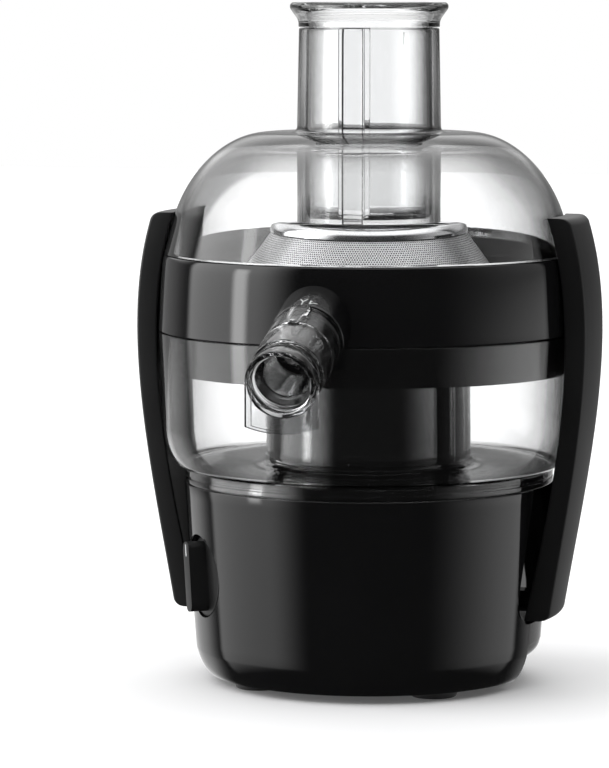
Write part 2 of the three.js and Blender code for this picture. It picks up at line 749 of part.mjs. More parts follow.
// Juice collector: an outer band with a skirt, a channel floor, an inner wall and the stub
const innerRimRadius = containerRimRadius - containerWall;
const skirtRadius = innerRimRadius - slideGap;
const bandRadius = (height) => collectorRimRadius
  + (containerRimRadius - collectorRimRadius) * Math.sqrt((collectorTop - height) / collectorHeight);
const bandHeights = Array.from(
  { length: curveSteps + 1 }, (_, i) => collectorFoot + (collectorHeight * i) / curveSteps,
);
const channelFloor = collectorFoot;
const innerBand = containerRimRadius - collectorWall;
const collectorBody = () => revolve([
  at(skirtRadius, collectorFoot), ...bandHeights.map((height) => at(bandRadius(height), height)),
  at(collectorMouth, collectorTop), at(innerBand, channelFloor + collectorHeight * half),
  at(innerBand, channelFloor + collectorFloor), at(innerBand - collectorFloor, channelFloor),
  at(channelWallRadius, channelFloor), at(channelWallRadius, channelFloor + channelWallHeight),
  at(channelWallRadius - channelWall, channelFloor + channelWallHeight),
  at(channelWallRadius - channelWall, channelFloor - collectorFloor - channelWallDrop),
  at(channelWallRadius, channelFloor - collectorFloor - channelWallDrop),
  at(channelWallRadius, channelFloor - collectorFloor),
  at(skirtRadius - skirtWall, channelFloor - collectorFloor),
  at(skirtRadius - skirtWall - skirtTaper, collectorFoot - skirtHeight),
  at(skirtRadius - skirtTaper, collectorFoot - skirtHeight),
], wideFacets);

// Frame of the spout: local Z runs out along its bore, local Y leans up
const spoutAxis = vec(0, -Math.cos(spoutDip), -Math.sin(spoutDip));
const spoutUp = vec(0, -Math.sin(spoutDip), Math.cos(spoutDip));
const spoutFrame = new THREE.Matrix4().makeBasis(vec(1, 0, 0), spoutUp, spoutAxis)
  .setPosition(0, -stubStartRadius, collectorFoot + stubRise);
const spoutLocal = (shape) => moved(shape, spoutFrame);

function juiceCollector() {
  const stub = spoutLocal(
    disc(stubRadius, -stubRadius, stubLength, middleFacets)
      .add(disc(spigotRadius, 0, stubLength + spigotLength, middleFacets))
      .subtract(tube(
        spigotRadius + cutOverrun, spigotRadius - sealGrooveDepth,
        stubLength + sealGrooveSet, stubLength + sealGrooveSet + sealGrooveWidth, middleFacets,
      )),
  );
  const inside = disc(innerBand, collectorFoot - skirtHeight, collectorTop, wideFacets);
  const containerRoom = disc(containerRimRadius + slideGap, 0, collectorFoot, wideFacets);
  const bore = spoutLocal(disc(stubBore, -stubRadius, stubLength + spigotLength + cutOverrun, smallFacets));
  return collectorBody().add(stub.subtract(inside).subtract(containerRoom)).subtract(bore);
}
addPiece('juice_collector', juiceCollector(), glossBlack);

const sealLow = stubLength + sealGrooveSet + seatGap;
const sealHigh = stubLength + sealGrooveSet + sealGrooveWidth - seatGap;
addPiece('spout_seal', spoutLocal(tube(
  spigotRadius + slideGap * half, spigotRadius - sealGrooveDepth + seatGap, sealLow, sealHigh, middleFacets,
)), rubberBlack);

// Spout: a barrel over the spigot, a necked mouth ring and a hanging apron
const spoutStart = stubLength + seatGap;
const spoutLength = spoutStart + spoutBarrelLength + spoutNeckLength + spoutMouthLength;
function spout() {
  const start = spoutStart;
  const neckStart = start + spoutBarrelLength;
  const mouthStart = neckStart + spoutNeckLength;
  const socketEnd = stubLength + spigotLength + seatGap;
  const barrel = revolve([
    at(socketBore, start), at(spoutRadius, start), at(spoutRadius, neckStart),
    at(spoutNeckRadius, neckStart), at(spoutNeckRadius, mouthStart),
    at(spoutMouthRadius, mouthStart), at(spoutMouthRadius, spoutLength),
    at(spoutMouthBore, spoutLength), at(spoutThroatBore, spoutLength - spoutFlareLength),
    at(spoutThroatBore, socketEnd), at(socketBore, socketEnd),
  ], middleFacets);
  const mouth = vec(0, 0, spoutLength).applyMatrix4(spoutFrame);
  const sideFoot = mouth.z - apronDrop;
  const [left, right] = [-spoutMouthRadius, spoutMouthRadius];
  const apronBack = mouth.y + apronSet + apronWall;
  const outline = [
    at(right, mouth.z), at(left, mouth.z),
    ...bend(at(left, sideFoot), at(0, sideFoot - apronSag - apronSag), at(right, sideFoot)),
  ];
  const apron = solid(plate(outline, apronWall).applyMatrix4(alongY).translate(0, apronBack, 0));
  const leftBand = block(vec(left, mouth.y, sideFoot), vec(left + apronBand, apronBack, mouth.z));
  const rightBand = block(vec(right - apronBand, mouth.y, sideFoot), vec(right, apronBack, mouth.z));
  const throat = spoutLocal(disc(spoutMouthBore, mouthStart, spoutLength + cutOverrun, middleFacets));
  const skirt = apron.add(leftBand).add(rightBand).subtract(throat);
  const latch = block(
    vec(-latchWidth * half, spoutRadius - latchLip, start + latchLip),
    vec(latchWidth * half, spoutRadius + latchHeight, start + latchLength),
  ).subtract(disc(spoutRadius - slideGap, 0, spoutLength, middleFacets));
  return spoutLocal(barrel.add(latch)).add(skirt);
}
addPiece('spout', spout(), smoke);

// Filter: rolled rim, perforated cone, base with spokes, and the toothed disc
const rimCentre = at(filterMouthRadius - filterRimHalfWidth, filterMouthLevel);
const rimRoll = halfTurn - quarterTurn * half;
const rimInner = [filterRimHalfWidth - filterRimWall, filterRimHeight - filterRimWall];
addPiece('filter_rim', revolve([
  ...ellipse(rimCentre, filterRimHalfWidth, filterRimHeight, 0, rimRoll),
  ...ellipse(rimCentre, ...rimInner, rimRoll, 0),
], middleFacets), polishedSteel);

addPiece('filter_mesh', revolve([
  at(coneTopRadius, coneTop), at(coneTopRadius - coneWall, coneTop),
  at(coneFootRadius - coneWall, coneFoot),
  at(coneFootRadius, coneFoot),
], middleFacets), meshSteel);

function filterBase() {
  const ringFoot = filterRingTop - filterRingHeight;
  const plateFoot = filterPlateTop - filterPlateThickness;
  const ringInner = filterRingRadius - filterRingWidth;
  const ring = tube(filterRingRadius, ringInner, ringFoot, filterRingTop, middleFacets);
  const hub = disc(filterHubRadius, filterPlateTop - filterHubHeight, filterPlateTop, smallFacets);
  const spoke = block(
    vec(filterHubRadius * half, -filterSpokeWidth * half, filterPlateTop - filterSpokeHeight),
    vec(ringInner + filterRingWidth * half, filterSpokeWidth * half, filterPlateTop),
  );
  return disc(filterPlateRadius, plateFoot, filterPlateTop, middleFacets)
    .add(ring).add(hub).add(joined(around(filterSpokeCount, (angle) => turned(spoke, angle))))
    .add(disc(graterBossRadius, plateFoot, filterPlateTop + graterBossHeight, smallFacets))
    .subtract(disc(
      couplingRadius + boreGap, 0, filterPlateTop - filterHubHeight + filterSocketDepth, smallFacets,
    ));
}
addPiece('filter_base', filterBase(), satinBlack);

function graterDisc() {
  const low = filterPlateTop + seatGap;
  const high = low + graterThickness;
  const tooth = solid(new THREE.CylinderGeometry(0, toothRadius, toothHeight, 3)
    .rotateX(quarterTurn).translate(0, 0, high - toothSink + toothHeight * half));
  const teeth = toothRowCounts.flatMap((count, row) => around(count, (angle) => {
    const place = toothRowStart + toothRowStep * row;
    const turn = angle + (row % 2) * (halfTurn / count);
    return turned(shifted(tooth, place, 0, 0), turn);
  }));
  return joined([tube(graterRadius, graterHoleRadius, low, high, middleFacets), ...teeth]);
}
addPiece('grater_disc', graterDisc(), polishedSteel);

// Lid: the dome, its lip, and the feed tube with an inner rib
const domeTop = lidFoot + domeHeight - domeWall;
const domeCurve = (inset) => {
  const side = lidFoot + domeSideHeight;
  const top = domeTop + domeWall - inset;
  return sweep(
    at(domeShoulderRadius - inset, side),
    at(domeShoulderRadius - inset - domeShoulderLean, side + domeShoulderRise),
    at(domeTopRadius + domeCrownReach, top), at(domeTopRadius, top), curveSteps + 2,
  );
};
const crown = domeTop + domeWall;
const lidBody = revolve([
  at(collectorRimRadius, lidFoot), ...domeCurve(0),
  ...bend(at(tubeRadius + tubeFillet, crown), at(tubeRadius, crown), at(tubeRadius, crown + tubeFillet)),
  at(tubeTopRadius, tubeTop), at(tubeTopBore, tubeTop), at(tubeBore, tubeFoot), at(tubeRadius, tubeFoot),
  ...bend(
    at(tubeRadius, domeTop - tubeFillet), at(tubeRadius, domeTop), at(tubeRadius + tubeFillet, domeTop),
  ),
  ...domeCurve(domeWall).reverse(),
  at(lipRadius - lidLipWall, lidFoot - lidLipHeight), at(lipRadius, lidFoot - lidLipHeight),
  at(lipRadius, lidFoot),
], wideFacets);
const ribInner = tubeTopBore - tubeRibDepth;
const tubeRib = block(
  vec(-tubeRibWidth * half, -tubeTopRadius + tubeWall * half, tubeFoot),
  vec(tubeRibWidth * half, -ribInner, tubeTop),
);
addPiece('lid', lidBody.add(tubeRib), clear);

// Pusher: an open cup whose groove runs on the tube's rib
const pusherFoot = tubeFoot + pusherFootRise;
const collarFoot = tubeTop + seatGap;
const pusherRim = tubeTop + pusherTop;
const flangeFoot = pusherRim - pusherFlangeHeight;
const pusherInner = pusherRadius - pusherWall;
const pusherCup = revolve([
  at(0, pusherFoot), at(pusherRadius - pusherEdge, pusherFoot), at(pusherRadius, pusherFoot + pusherEdge),
  at(pusherRadius, collarFoot), at(pusherCollarRadius, collarFoot),
  at(pusherCollarRadius, collarFoot + pusherNeckRise * half),
  at(pusherFlangeRadius - pusherEdge, flangeFoot), at(pusherFlangeRadius, flangeFoot + pusherEdge * half),
  at(pusherFlangeRadius, pusherRim - pusherEdge * half),
  at(pusherFlangeRadius - pusherEdge * half, pusherRim), at(pusherFlangeRadius - pusherEdge, pusherRim),
  at(pusherCollarRadius - pusherWall, flangeFoot), at(pusherInner, collarFoot - pusherWall),
  at(pusherInner, pusherFoot + pusherWall), at(0, pusherFoot + pusherWall),
], middleFacets);
const grooveInner = ribInner - slideGap;
const grooveHalf = tubeRibWidth * half + slideGap;
const grooveLining = block(
  vec(-grooveHalf - pusherGrooveWall, -pusherRadius + pusherWall * half, pusherFoot),
  vec(grooveHalf + pusherGrooveWall, -grooveInner + pusherGrooveWall, collarFoot),
);
const groove = block(
  vec(-grooveHalf, -tubeRadius, pusherFoot - cutOverrun), vec(grooveHalf, -grooveInner, collarFoot),
);
addPiece('pusher', pusherCup.add(grooveLining).subtract(groove), clear);

// Clamps: curved bars that hug the body, lofted from foot to head
function clampBar() {
  const foot = pivotLevel - clampFootDrop;
  const height = lidFoot + clampHeadRise - foot;
  const curve = (radii, shares) => sweep(
    ...radii.map((radius, i) => at(radius, foot + height * shares[i])), clampStations,
  );
  const outerRadii = [
    pivotRadius + clampFootSet, containerRimRadius + clampLowerProud,
    containerRimRadius + clampUpperProud, domeShoulderRadius + clampHeadProud,
  ];
  const depths = [clampFootDepth, clampLowerDepth, clampUpperDepth, clampHeadDepth];
  const outer = curve(outerRadii, clampOuterHeightShares);
  const inner = curve(outerRadii.map((radius, i) => radius - depths[i]), clampInnerHeightShares);
  const sections = outer.map((edge, i) => {
    const swell = Math.sin((quarterTurn * i) / clampStations);
    const halfWidth = (clampFootWidth + (clampHeadWidth - clampFootWidth) * swell) * half;
    const chamfer = i === 0 ? clampFootChamfer : 0;
    const face = (radius, height, side) => Array.from({ length: clampArcSteps + 1 }, (_, k) => {
      const y = side * halfWidth * ((k / clampArcSteps) / half - 1);
      return vec(Math.sqrt(radius * radius - y * y), y, height);
    });
    return [...face(edge.x - chamfer, edge.y, 1), ...face(inner[i].x, inner[i].y, -1)];
  });
  return loft(sections);
}

// A closed skin through sections of equal point counts, capped at both ends
function loft(sections) {
  const size = sections[0].length;
  const positions = sections.flat().flatMap((p) => [p.x, p.y, p.z]);
  const index = [];
  for (let s = 0; s + 1 < sections.length; s += 1) {
    for (let k = 0; k < size; k += 1) {
      const next = (k + 1) % size;
      const [a, b] = [s * size + k, s * size + next];
      index.push(a, b, b + size, a, b + size, a + size);
    }
  }
  const last = (sections.length - 1) * size;
  for (let k = 1; k + 1 < size; k += 1) {
    index.push(0, k + 1, k);
    index.push(last, last + k, last + k + 1);
  }
  const geometry = new THREE.BufferGeometry();
  geometry.setAttribute('position', new THREE.Float32BufferAttribute(positions, 3));
  geometry.setIndex(index);
  return solid(geometry);
}

function clamp() {
  const slotHalf = earWidth * half + earGap;
  const slotReach = earRadius + earGap;
  const slot = block(
    vec(0, -slotHalf, 0), vec(pivotRadius + slotReach, slotHalf, pivotLevel + slotReach),
  );
  return clampBar().subtract(slot).subtract(pinBore());
}
const clampSolid = clamp();
const pinSolid = rodAlong(
  pinRadius, -pinLength * half, pinLength * half, alongY, vec(pivotRadius, 0, pivotLevel),
);
for (const [side, angle] of [['right', 0], ['left', halfTurn]]) {
  addPiece(`clamp_${side}`, turned(clampSolid, angle), satinBlack);
  addPiece(`clamp_pin_${side}`, turned(pinSolid, angle), shaftSteel);
}

// Control knob with its spindle and rotary switch
const knobFoot = knobRecessRadius + seatGap;
const knobFace = knobFoot + knobThickness;
function controlKnob() {
  const grip = block(
    vec(-knobRadius * knobGripLengthShare, -knobGripWidth * half, knobFace - knobSocketDepth * half),
    vec(knobRadius * knobGripLengthShare, knobGripWidth * half, knobFace + knobGripHeight),
  );
  return disc(knobRadius, knobFoot, knobFace, middleFacets).add(turned(grip, pointerTurn))
    .subtract(disc(spindleRadius + boreGap, 0, knobFoot + knobSocketDepth, smallFacets));
}
addPiece('control_knob', knobLocal(controlKnob()), satinBlack);
const spindleEnd = knobFoot + knobSocketDepth - seatGap;
addPiece('knob_spindle', knobLocal(disc(
  spindleRadius, spindleEnd - spindleLength, spindleEnd, smallFacets,
)), shaftSteel);
const switchFront = recessFloorBack - seatGap;
const switchBody = block(
  vec(-switchSize * half, -switchSize * half, switchFront - switchDepth),
  vec(switchSize * half, switchSize * half, switchFront),
).subtract(disc(spindleRadius + slideGap, switchFront - switchSocketDepth, reach, smallFacets));
addPiece('rotary_switch', knobLocal(switchBody), innerBlack);

// Motor: shaft, bearings, brackets, rotor and stator
const shaftLow = baseFloor + shaftFoot;
const shaftBore = shaftRadius + boreGap;
const couplingLow = neckTop + seatGap + seatGap;
const shaftTop = couplingLow + couplingHeight - shaftTopInset;
addPiece('motor_shaft', disc(shaftRadius, shaftLow, shaftTop, smallFacets), shaftSteel);

function coolingFan() {
  const low = baseFloor + fanFoot;
  const high = low + fanHeight;
  const blade = block(
    vec(fanHubRadius - fanBladeWall, -fanBladeWall * half, low),
    vec(fanRadius - fanBladeWall, fanBladeWall * half, high - fanDisc * half),
  );
  return tube(fanRadius, shaftBore, high - fanDisc, high, middleFacets)
    .add(tube(fanHubRadius, shaftBore, low, high, smallFacets))
    .add(joined(around(fanBladeCount, (angle) => turned(blade, angle))));
}
addPiece('cooling_fan', coolingFan(), innerBlack);

const lowerBracketFoot = lowerBracketLevel();
const bearingSeat = bearingRadius + seatGap;
const bracketRingRadius = bearingSeat + bracketRingWall;
const ringLow = lowerBracketFoot - bearingHeight * half;
const legGap = seatGap;
const statorLow = baseFloor + statorFoot;
const statorHigh = neckTop - statorDrop;
const leg = (low, high) => block(
  vec(-bracketArmWidth * half, throughBoltReach - legWidth * half, low),
  vec(bracketArmWidth * half, throughBoltReach + legWidth * half - seatGap, high),
);
const boltHoles = joined([1, -1].map((side) => shifted(
  disc(throughBoltRadius + boreGap, 0, neckTop, tinyFacets), 0, side * throughBoltReach, 0,
)));

function lowerBracket() {
  const high = lowerBracketFoot + bracketHeight;
  const armSide = bracketArmWidth * half;
  const arm = block(vec(0, -armSide, lowerBracketFoot), vec(mountReach + mountRadius, armSide, high));
  const legs = [0, halfTurn].map((angle) => turned(leg(lowerBracketFoot, statorLow - legGap), angle));
  return joined([
    disc(bracketRingRadius, ringLow, ringLow + bearingHeight + bracketHeight, middleFacets),
    ...around(4, (angle) => turned(arm, angle)), ...legs,
  ]).subtract(disc(bearingSeat, 0, ringLow + bearingHeight + seatGap, middleFacets))
    .subtract(disc(bearingRadius - bracketRingWall, 0, neckTop, smallFacets)).subtract(boltHoles);
}
addPiece('lower_bracket', lowerBracket(), castAluminium);
const lowerBearing = tube(bearingRadius, shaftBore, ringLow, ringLow + bearingHeight, smallFacets);
addPiece('lower_bearing', lowerBearing, shaftSteel);

mountPlaces.forEach(([x, y], i) => {
  const low = mountFoot;
  const high = low + mountHeight;
  const middle = (low + high) * half;
  const mount = revolve([
    at(0, low), at(mountRadius, low), at(mountWaist, middle), at(mountRadius, high), at(0, high),
  ], smallFacets);
  addPiece(`motor_mount_${i + 1}`, shifted(mount, x, y, 0), rubberBlack);
});

// Stator stack with two poles on X, and one coil round each pole
const yokeInner = statorRadius - statorYoke;
const ringPoints = (radius, from, to, steps) => Array.from({ length: steps + 1 }, (_, i) => {
  const angle = from + ((to - from) * i) / steps;
  return at(radius * Math.cos(angle), radius * Math.sin(angle));
});
function statorCore() {
  const yoke = tube(statorRadius, yokeInner, statorLow, statorHigh, middleFacets);
  const shoe = solid(plate([
    ...ringPoints(statorBore + poleShoe, -poleHalfAngle, poleHalfAngle, curveSteps),
    ...ringPoints(statorBore, poleHalfAngle, -poleHalfAngle, curveSteps),
  ], statorHigh - statorLow).translate(0, 0, statorLow));
  const neck = block(
    vec(statorBore + poleShoe * half, -poleNeckWidth * half, statorLow),
    vec(yokeInner + statorYoke * half, poleNeckWidth * half, statorHigh),
  );
  const pole = shoe.add(neck.subtract(disc(statorBore, 0, neckTop, middleFacets)));
  return yoke.add(pole).add(turned(pole, halfTurn)).subtract(boltHoles);
}
addPiece('stator_core', statorCore(), coreSteel);

function fieldCoil() {
  const low = statorBore + poleShoe + seatGap;
  const high = yokeInner - seatGap - seatGap;
  const inner = poleNeckWidth * half + seatGap;
  const outer = inner + coilWidth;
  const ring = block(vec(low, -outer, statorLow - coilHeight), vec(high, outer, statorHigh + coilHeight));
  const window = block(vec(0, -inner, statorLow - seatGap), vec(reach, inner, statorHigh + seatGap));
  const yokeRoom = disc(yokeInner - seatGap, 0, neckTop, middleFacets);
  return ring.subtract(window).intersect(yokeRoom);
}
addPiece('field_coil_right', fieldCoil(), copper);
addPiece('field_coil_left', turned(fieldCoil(), halfTurn), copper);

function rotorCore() {
  const slot = block(
    vec(rotorRadius - rotorSlotDepth, -rotorSlotWidth * half, 0),
    vec(rotorRadius + cutOverrun, rotorSlotWidth * half, neckTop),
  );
  return tube(rotorRadius, shaftBore, statorLow, statorHigh, middleFacets)
    .subtract(joined(around(rotorSlotCount, (angle) => turned(slot, angle))));
}
addPiece('rotor_core', rotorCore(), coreSteel);
const winding = (low, high) => {
  const middle = (low + high) * half;
  return revolve([
    at(windingHubRadius, low), at(windingRadius - windingHeight * half, low), at(windingRadius, middle),
    at(windingRadius - windingHeight * half, high), at(windingHubRadius, high),
  ], smallFacets);
};
const windingTop = statorLow - seatGap;
const windingFoot = statorHigh + seatGap;
addPiece('rotor_winding_lower', winding(windingTop - windingHeight, windingTop), copper);
addPiece('rotor_winding_upper', winding(windingFoot, windingFoot + windingHeight), copper);

const commutatorLow = baseFloor + commutatorFoot;
const commutatorHigh = commutatorLow + commutatorHeight;
const barSlot = block(
  vec(commutatorRadius - commutatorSlotDepth, -commutatorSlotWidth * half, commutatorLow - cutOverrun),
  vec(commutatorRadius + cutOverrun, commutatorSlotWidth * half, commutatorHigh - commutatorSlotDepth),
);
addPiece('commutator', tube(commutatorRadius, shaftBore, commutatorLow, commutatorHigh, middleFacets)
  .subtract(joined(around(rotorSlotCount, (angle) => turned(barSlot, angle)))), copper);

// Brush holders stand on the lower bracket's X arms, each with a carbon brush
const holderMiddle = (commutatorLow + commutatorHigh) * half;
const holderLow = holderMiddle - holderHeight * half;
const holderSide = holderWidth * half;
const tunnelSide = holderSide - holderWall;
const tunnelLow = holderLow + holderWall;
const tunnelHigh = holderLow + holderHeight - holderWall;
function brushHolder() {
  const tunnel = block(vec(0, -tunnelSide, tunnelLow), vec(holderReach - holderWall, tunnelSide, tunnelHigh));
  const box = block(
    vec(holderStart, -holderSide, holderLow), vec(holderReach, holderSide, holderLow + holderHeight),
  );
  const post = block(
    vec(holderReach - holderPostLength, -holderSide, lowerBracketFoot + bracketHeight + seatGap),
    vec(holderReach, holderSide, holderMiddle),
  );
  return box.add(post).subtract(tunnel);
}
const brushStart = commutatorRadius + brushGap;
const carbonBrush = block(
  vec(brushStart, seatGap - tunnelSide, tunnelLow + seatGap),
  vec(brushStart + brushLength, tunnelSide - seatGap, tunnelHigh - seatGap),
);
for (const [side, angle] of [['right', 0], ['left', halfTurn]]) {
  addPiece(`brush_holder_${side}`, turned(brushHolder(), angle), brass);
  addPiece(`carbon_brush_${side}`, turned(carbonBrush, angle), carbon);
}

// Upper bracket and bearing, held with the stator by two through bolts
const upperBarLow = statorHigh + upperBracketRise;
const upperBarHigh = upperBarLow + bracketHeight;
function upperBracket() {
  const bar = block(
    vec(-bracketArmWidth * half, -throughBoltReach - legWidth * half + seatGap, upperBarLow),
    vec(bracketArmWidth * half, throughBoltReach + legWidth * half - seatGap, upperBarHigh),
  );
  const legs = [0, halfTurn].map((angle) => turned(leg(statorHigh + legGap, upperBarHigh), angle));
  const cup = disc(bracketRingRadius, upperBarLow, upperBarHigh + bearingHeight, middleFacets);
  return joined([bar, ...legs, cup])
    .subtract(disc(bearingSeat, upperBarLow + bracketHeight, neckTop, middleFacets))
    .subtract(disc(bearingRadius - bracketRingWall, 0, neckTop, smallFacets)).subtract(boltHoles);
}
addPiece('upper_bracket', upperBracket(), castAluminium);
const upperBearingLow = upperBarLow + bracketHeight + seatGap;
addPiece('upper_bearing', tube(
  bearingRadius, shaftBore, upperBearingLow, upperBearingLow + bearingHeight, smallFacets,
), shaftSteel);

const boltTop = upperBarHigh + seatGap;
const throughBolt = revolve([
  at(0, lowerBracketFoot), at(throughBoltRadius, lowerBracketFoot), at(throughBoltRadius, boltTop),
  at(throughBoltHead, boltTop), at(throughBoltHead, boltTop + throughBoltHeadHeight),
  at(0, boltTop + throughBoltHeadHeight),
], tinyFacets);
addPiece('motor_bolt_rear', shifted(throughBolt, 0, throughBoltReach, 0), shaftSteel);
addPiece('motor_bolt_front', shifted(throughBolt, 0, -throughBoltReach, 0), shaftSteel);

// Drive coupling between the shaft and the filter's hub
addPiece('drive_coupling', revolve([
  at(shaftBore, couplingLow), at(couplingFlangeRadius, couplingLow),
  at(couplingFlangeRadius, couplingLow + couplingFlangeHeight),
  at(couplingRadius, couplingLow + couplingFlangeHeight),
  at(couplingRadius, couplingLow + couplingHeight), at(shaftBore, couplingLow + couplingHeight),
], smallFacets), brass);

// Cord gland in the rear wall
const gland = revolve([
  at(glandBore, glandInnerReach), at(glandFlangeRadius, glandInnerReach),
  at(glandFlangeRadius, glandInnerReach + glandFlange * half),
  at(glandWaistRadius, glandInnerReach + glandFlange * half),
  at(glandWaistRadius, glandReach - glandFlange), at(glandFlangeRadius, glandReach - glandFlange),
  at(glandWaistRadius + slideGap, glandReach), at(glandBore, glandReach),
], smallFacets);
const glandFrame = new THREE.Matrix4().makeRotationX(-quarterTurn).setPosition(0, 0, glandLevel);
addPiece('cord_gland', moved(gland, glandFrame), rubberBlack);

// The origin lies on the floor under the middle of the whole outline.
const spoutTip = stubStartRadius + spoutLength * Math.cos(spoutDip) + spoutMouthRadius * Math.sin(spoutDip);
juicer.position.y = (spoutTip - containerRimRadius) * half;

export default juicer;
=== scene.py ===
"""Looks of a centrifugal juicer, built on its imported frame.

Lengths are metres, +Z is up and the spout points towards -Y. Round pieces are shaped about the main axis at
the origin and then moved to where that axis stands in the frame.
"""
from __future__ import annotations

import json
import logging
import math
from dataclasses import dataclass
from enum import Enum
from typing import Iterable, Sequence

import bmesh
import bpy
from mathutils import Matrix, Vector

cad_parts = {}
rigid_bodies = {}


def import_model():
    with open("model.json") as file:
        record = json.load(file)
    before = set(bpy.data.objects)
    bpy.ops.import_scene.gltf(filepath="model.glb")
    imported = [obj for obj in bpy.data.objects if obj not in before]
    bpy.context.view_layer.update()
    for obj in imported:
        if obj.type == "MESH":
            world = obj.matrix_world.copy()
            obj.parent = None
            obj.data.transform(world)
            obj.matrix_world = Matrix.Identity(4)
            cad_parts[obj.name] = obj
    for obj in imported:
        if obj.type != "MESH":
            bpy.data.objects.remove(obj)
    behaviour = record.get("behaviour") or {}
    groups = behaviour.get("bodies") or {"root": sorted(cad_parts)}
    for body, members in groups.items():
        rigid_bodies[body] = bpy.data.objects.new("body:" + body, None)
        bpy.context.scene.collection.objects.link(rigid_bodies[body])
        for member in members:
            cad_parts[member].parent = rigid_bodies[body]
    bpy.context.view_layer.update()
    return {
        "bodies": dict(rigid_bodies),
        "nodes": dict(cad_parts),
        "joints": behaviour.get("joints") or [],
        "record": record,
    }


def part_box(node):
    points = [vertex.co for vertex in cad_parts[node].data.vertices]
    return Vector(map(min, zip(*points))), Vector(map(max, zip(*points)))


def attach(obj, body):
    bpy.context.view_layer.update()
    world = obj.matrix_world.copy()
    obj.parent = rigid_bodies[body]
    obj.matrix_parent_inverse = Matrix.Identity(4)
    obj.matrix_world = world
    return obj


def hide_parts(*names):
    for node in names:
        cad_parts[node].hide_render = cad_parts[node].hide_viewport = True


LOG = logging.getLogger("juicer")

# Clearances that the pieces share, and how far a cutting tool runs past its cut
SEAT_GAP = 0.0003
SLIDE_GAP = 0.0005
OVERRUN = 0.008
SPECK = 0.000001

# Steps of curves, which are counts
WIDE_STEPS = 192
MIDDLE_STEPS = 96
SMALL_STEPS = 40
CURVE_STEPS = 16
EDGE_STEPS = 5

# Angles
QUARTER_TURN = math.pi / 2
HALF_TURN = math.pi
FULL_TURN = math.pi * 2
CREASE = math.radians(34)

Point = tuple[float, float]
Outline = list[Point]


class Slot(Enum):
    """Finishes of the record that pieces take."""

    GLOSS_BLACK = "gloss_black"
    SATIN_BLACK = "satin_black"
    INNER_BLACK = "inner_black"
    CLEAR = "clear"
    SMOKE = "smoke"
    POLISHED_STEEL = "polished_steel"
    MESH_STEEL = "mesh_steel"
    SHAFT_STEEL = "shaft_steel"
    CORE_STEEL = "core_steel"
    COPPER = "copper"
    BRASS = "brass"
    CARBON = "carbon"
    CAST_ALUMINIUM = "cast_aluminium"
    RUBBER = "rubber"


class Join(Enum):
    """Ways to combine two solids."""

    ADD = "UNION"
    CUT = "DIFFERENCE"
    KEEP = "INTERSECT"


class Body(Enum):
    """Bodies of the model that pieces ride on."""

    BASE = "base"
    LID = "lid"
    PUSHER = "pusher"
    ROTOR = "rotor"
    CLAMP_RIGHT = "clamp_right"
    CLAMP_LEFT = "clamp_left"
    SPOUT = "spout"
    KNOB = "knob"


# Outlines


def bend(start: Point, control: Point, end: Point, steps: int = CURVE_STEPS) -> Outline:
    """A curve that leaves the start and reaches the end along the lines to the control point.

    Args:
        start: First point.
        control: Point that the curve leans to.
        end: Last point.
        steps: How many pieces the curve is cut into.

    Returns:
        The points along the curve.
    """
    points = []
    for i in range(steps + 1):
        t = i / steps
        weights = ((1 - t) ** 2, 2 * t * (1 - t), t * t)
        points.append(tuple(sum(w * p[k] for w, p in zip(weights, (start, control, end))) for k in (0, 1)))
    return points


def sweep(points: Sequence[Point], stops: Iterable[float]) -> Outline:
    """A cubic curve from four control points.

    Args:
        points: The four control points.
        stops: Places along the curve, from 0 to 1.

    Returns:
        The point at each stop.
    """
    curve = []
    for t in stops:
        weights = ((1 - t) ** 3, 3 * t * (1 - t) ** 2, 3 * t * t * (1 - t), t ** 3)
        curve.append(tuple(sum(w * p[k] for w, p in zip(weights, points)) for k in (0, 1)))
    return curve


def even_stops(steps: int = CURVE_STEPS) -> list[float]:
    """Evenly spaced places from 0 to 1."""
    return [i / steps for i in range(steps + 1)]


def oval(centre: Point, width: float, height: float, start: float, end: float,
         steps: int = CURVE_STEPS) -> Outline:
    """Part of an upright ellipse.

    Args:
        centre: Its middle.
        width: Half of its breadth.
        height: Half of its height.
        start: Angle of the first point.
        end: Angle of the last point.
        steps: How many pieces the arc is cut into.

    Returns:
        The points along the arc.
    """
    angles = [start + (end - start) * i / steps for i in range(steps + 1)]
    return [(centre[0] + width * math.cos(a), centre[1] + height * math.sin(a)) for a in angles]


def eased(corners: Sequence[Sequence[float]], steps: int = EDGE_STEPS) -> Outline:
    """A closed outline whose corners are rounded.

    Args:
        corners: Points, each with two coordinates and, where it is rounded, how far back from the corner the
            rounding starts.
        steps: How many pieces each rounding is cut into.

    Returns:
        The points of the outline.
    """
    points: Outline = []
    for i, corner in enumerate(corners):
        here = Vector(corner[:2])
        if len(corner) == 2:
            points.append(tuple(here))
            continue
        before = Vector(corners[i - 1][:2]) - here
        after = Vector(corners[(i + 1) % len(corners)][:2]) - here
        reach = [min(corner[2], side.length / 2) for side in (before, after)]
        start = here + before.normalized() * reach[0]
        end = here + after.normalized() * reach[1]
        points.extend(bend(tuple(start), tuple(here), tuple(end), steps))
    return points


def ring_outline(outer: float, inner: float, low: float, high: float, ease: float = 0) -> Outline:
    """A plain ring's section.

    Args:
        outer: Outside radius.
        inner: Inside radius.
        low: Height of its foot.
        high: Height of its top.
        ease: How far each corner is rounded.

    Returns:
        Its points.
    """
    corners = [(inner, low), (outer, low), (outer, high), (inner, high)]
    return eased([(*corner, ease) for corner in corners]) if ease else corners


# Solids


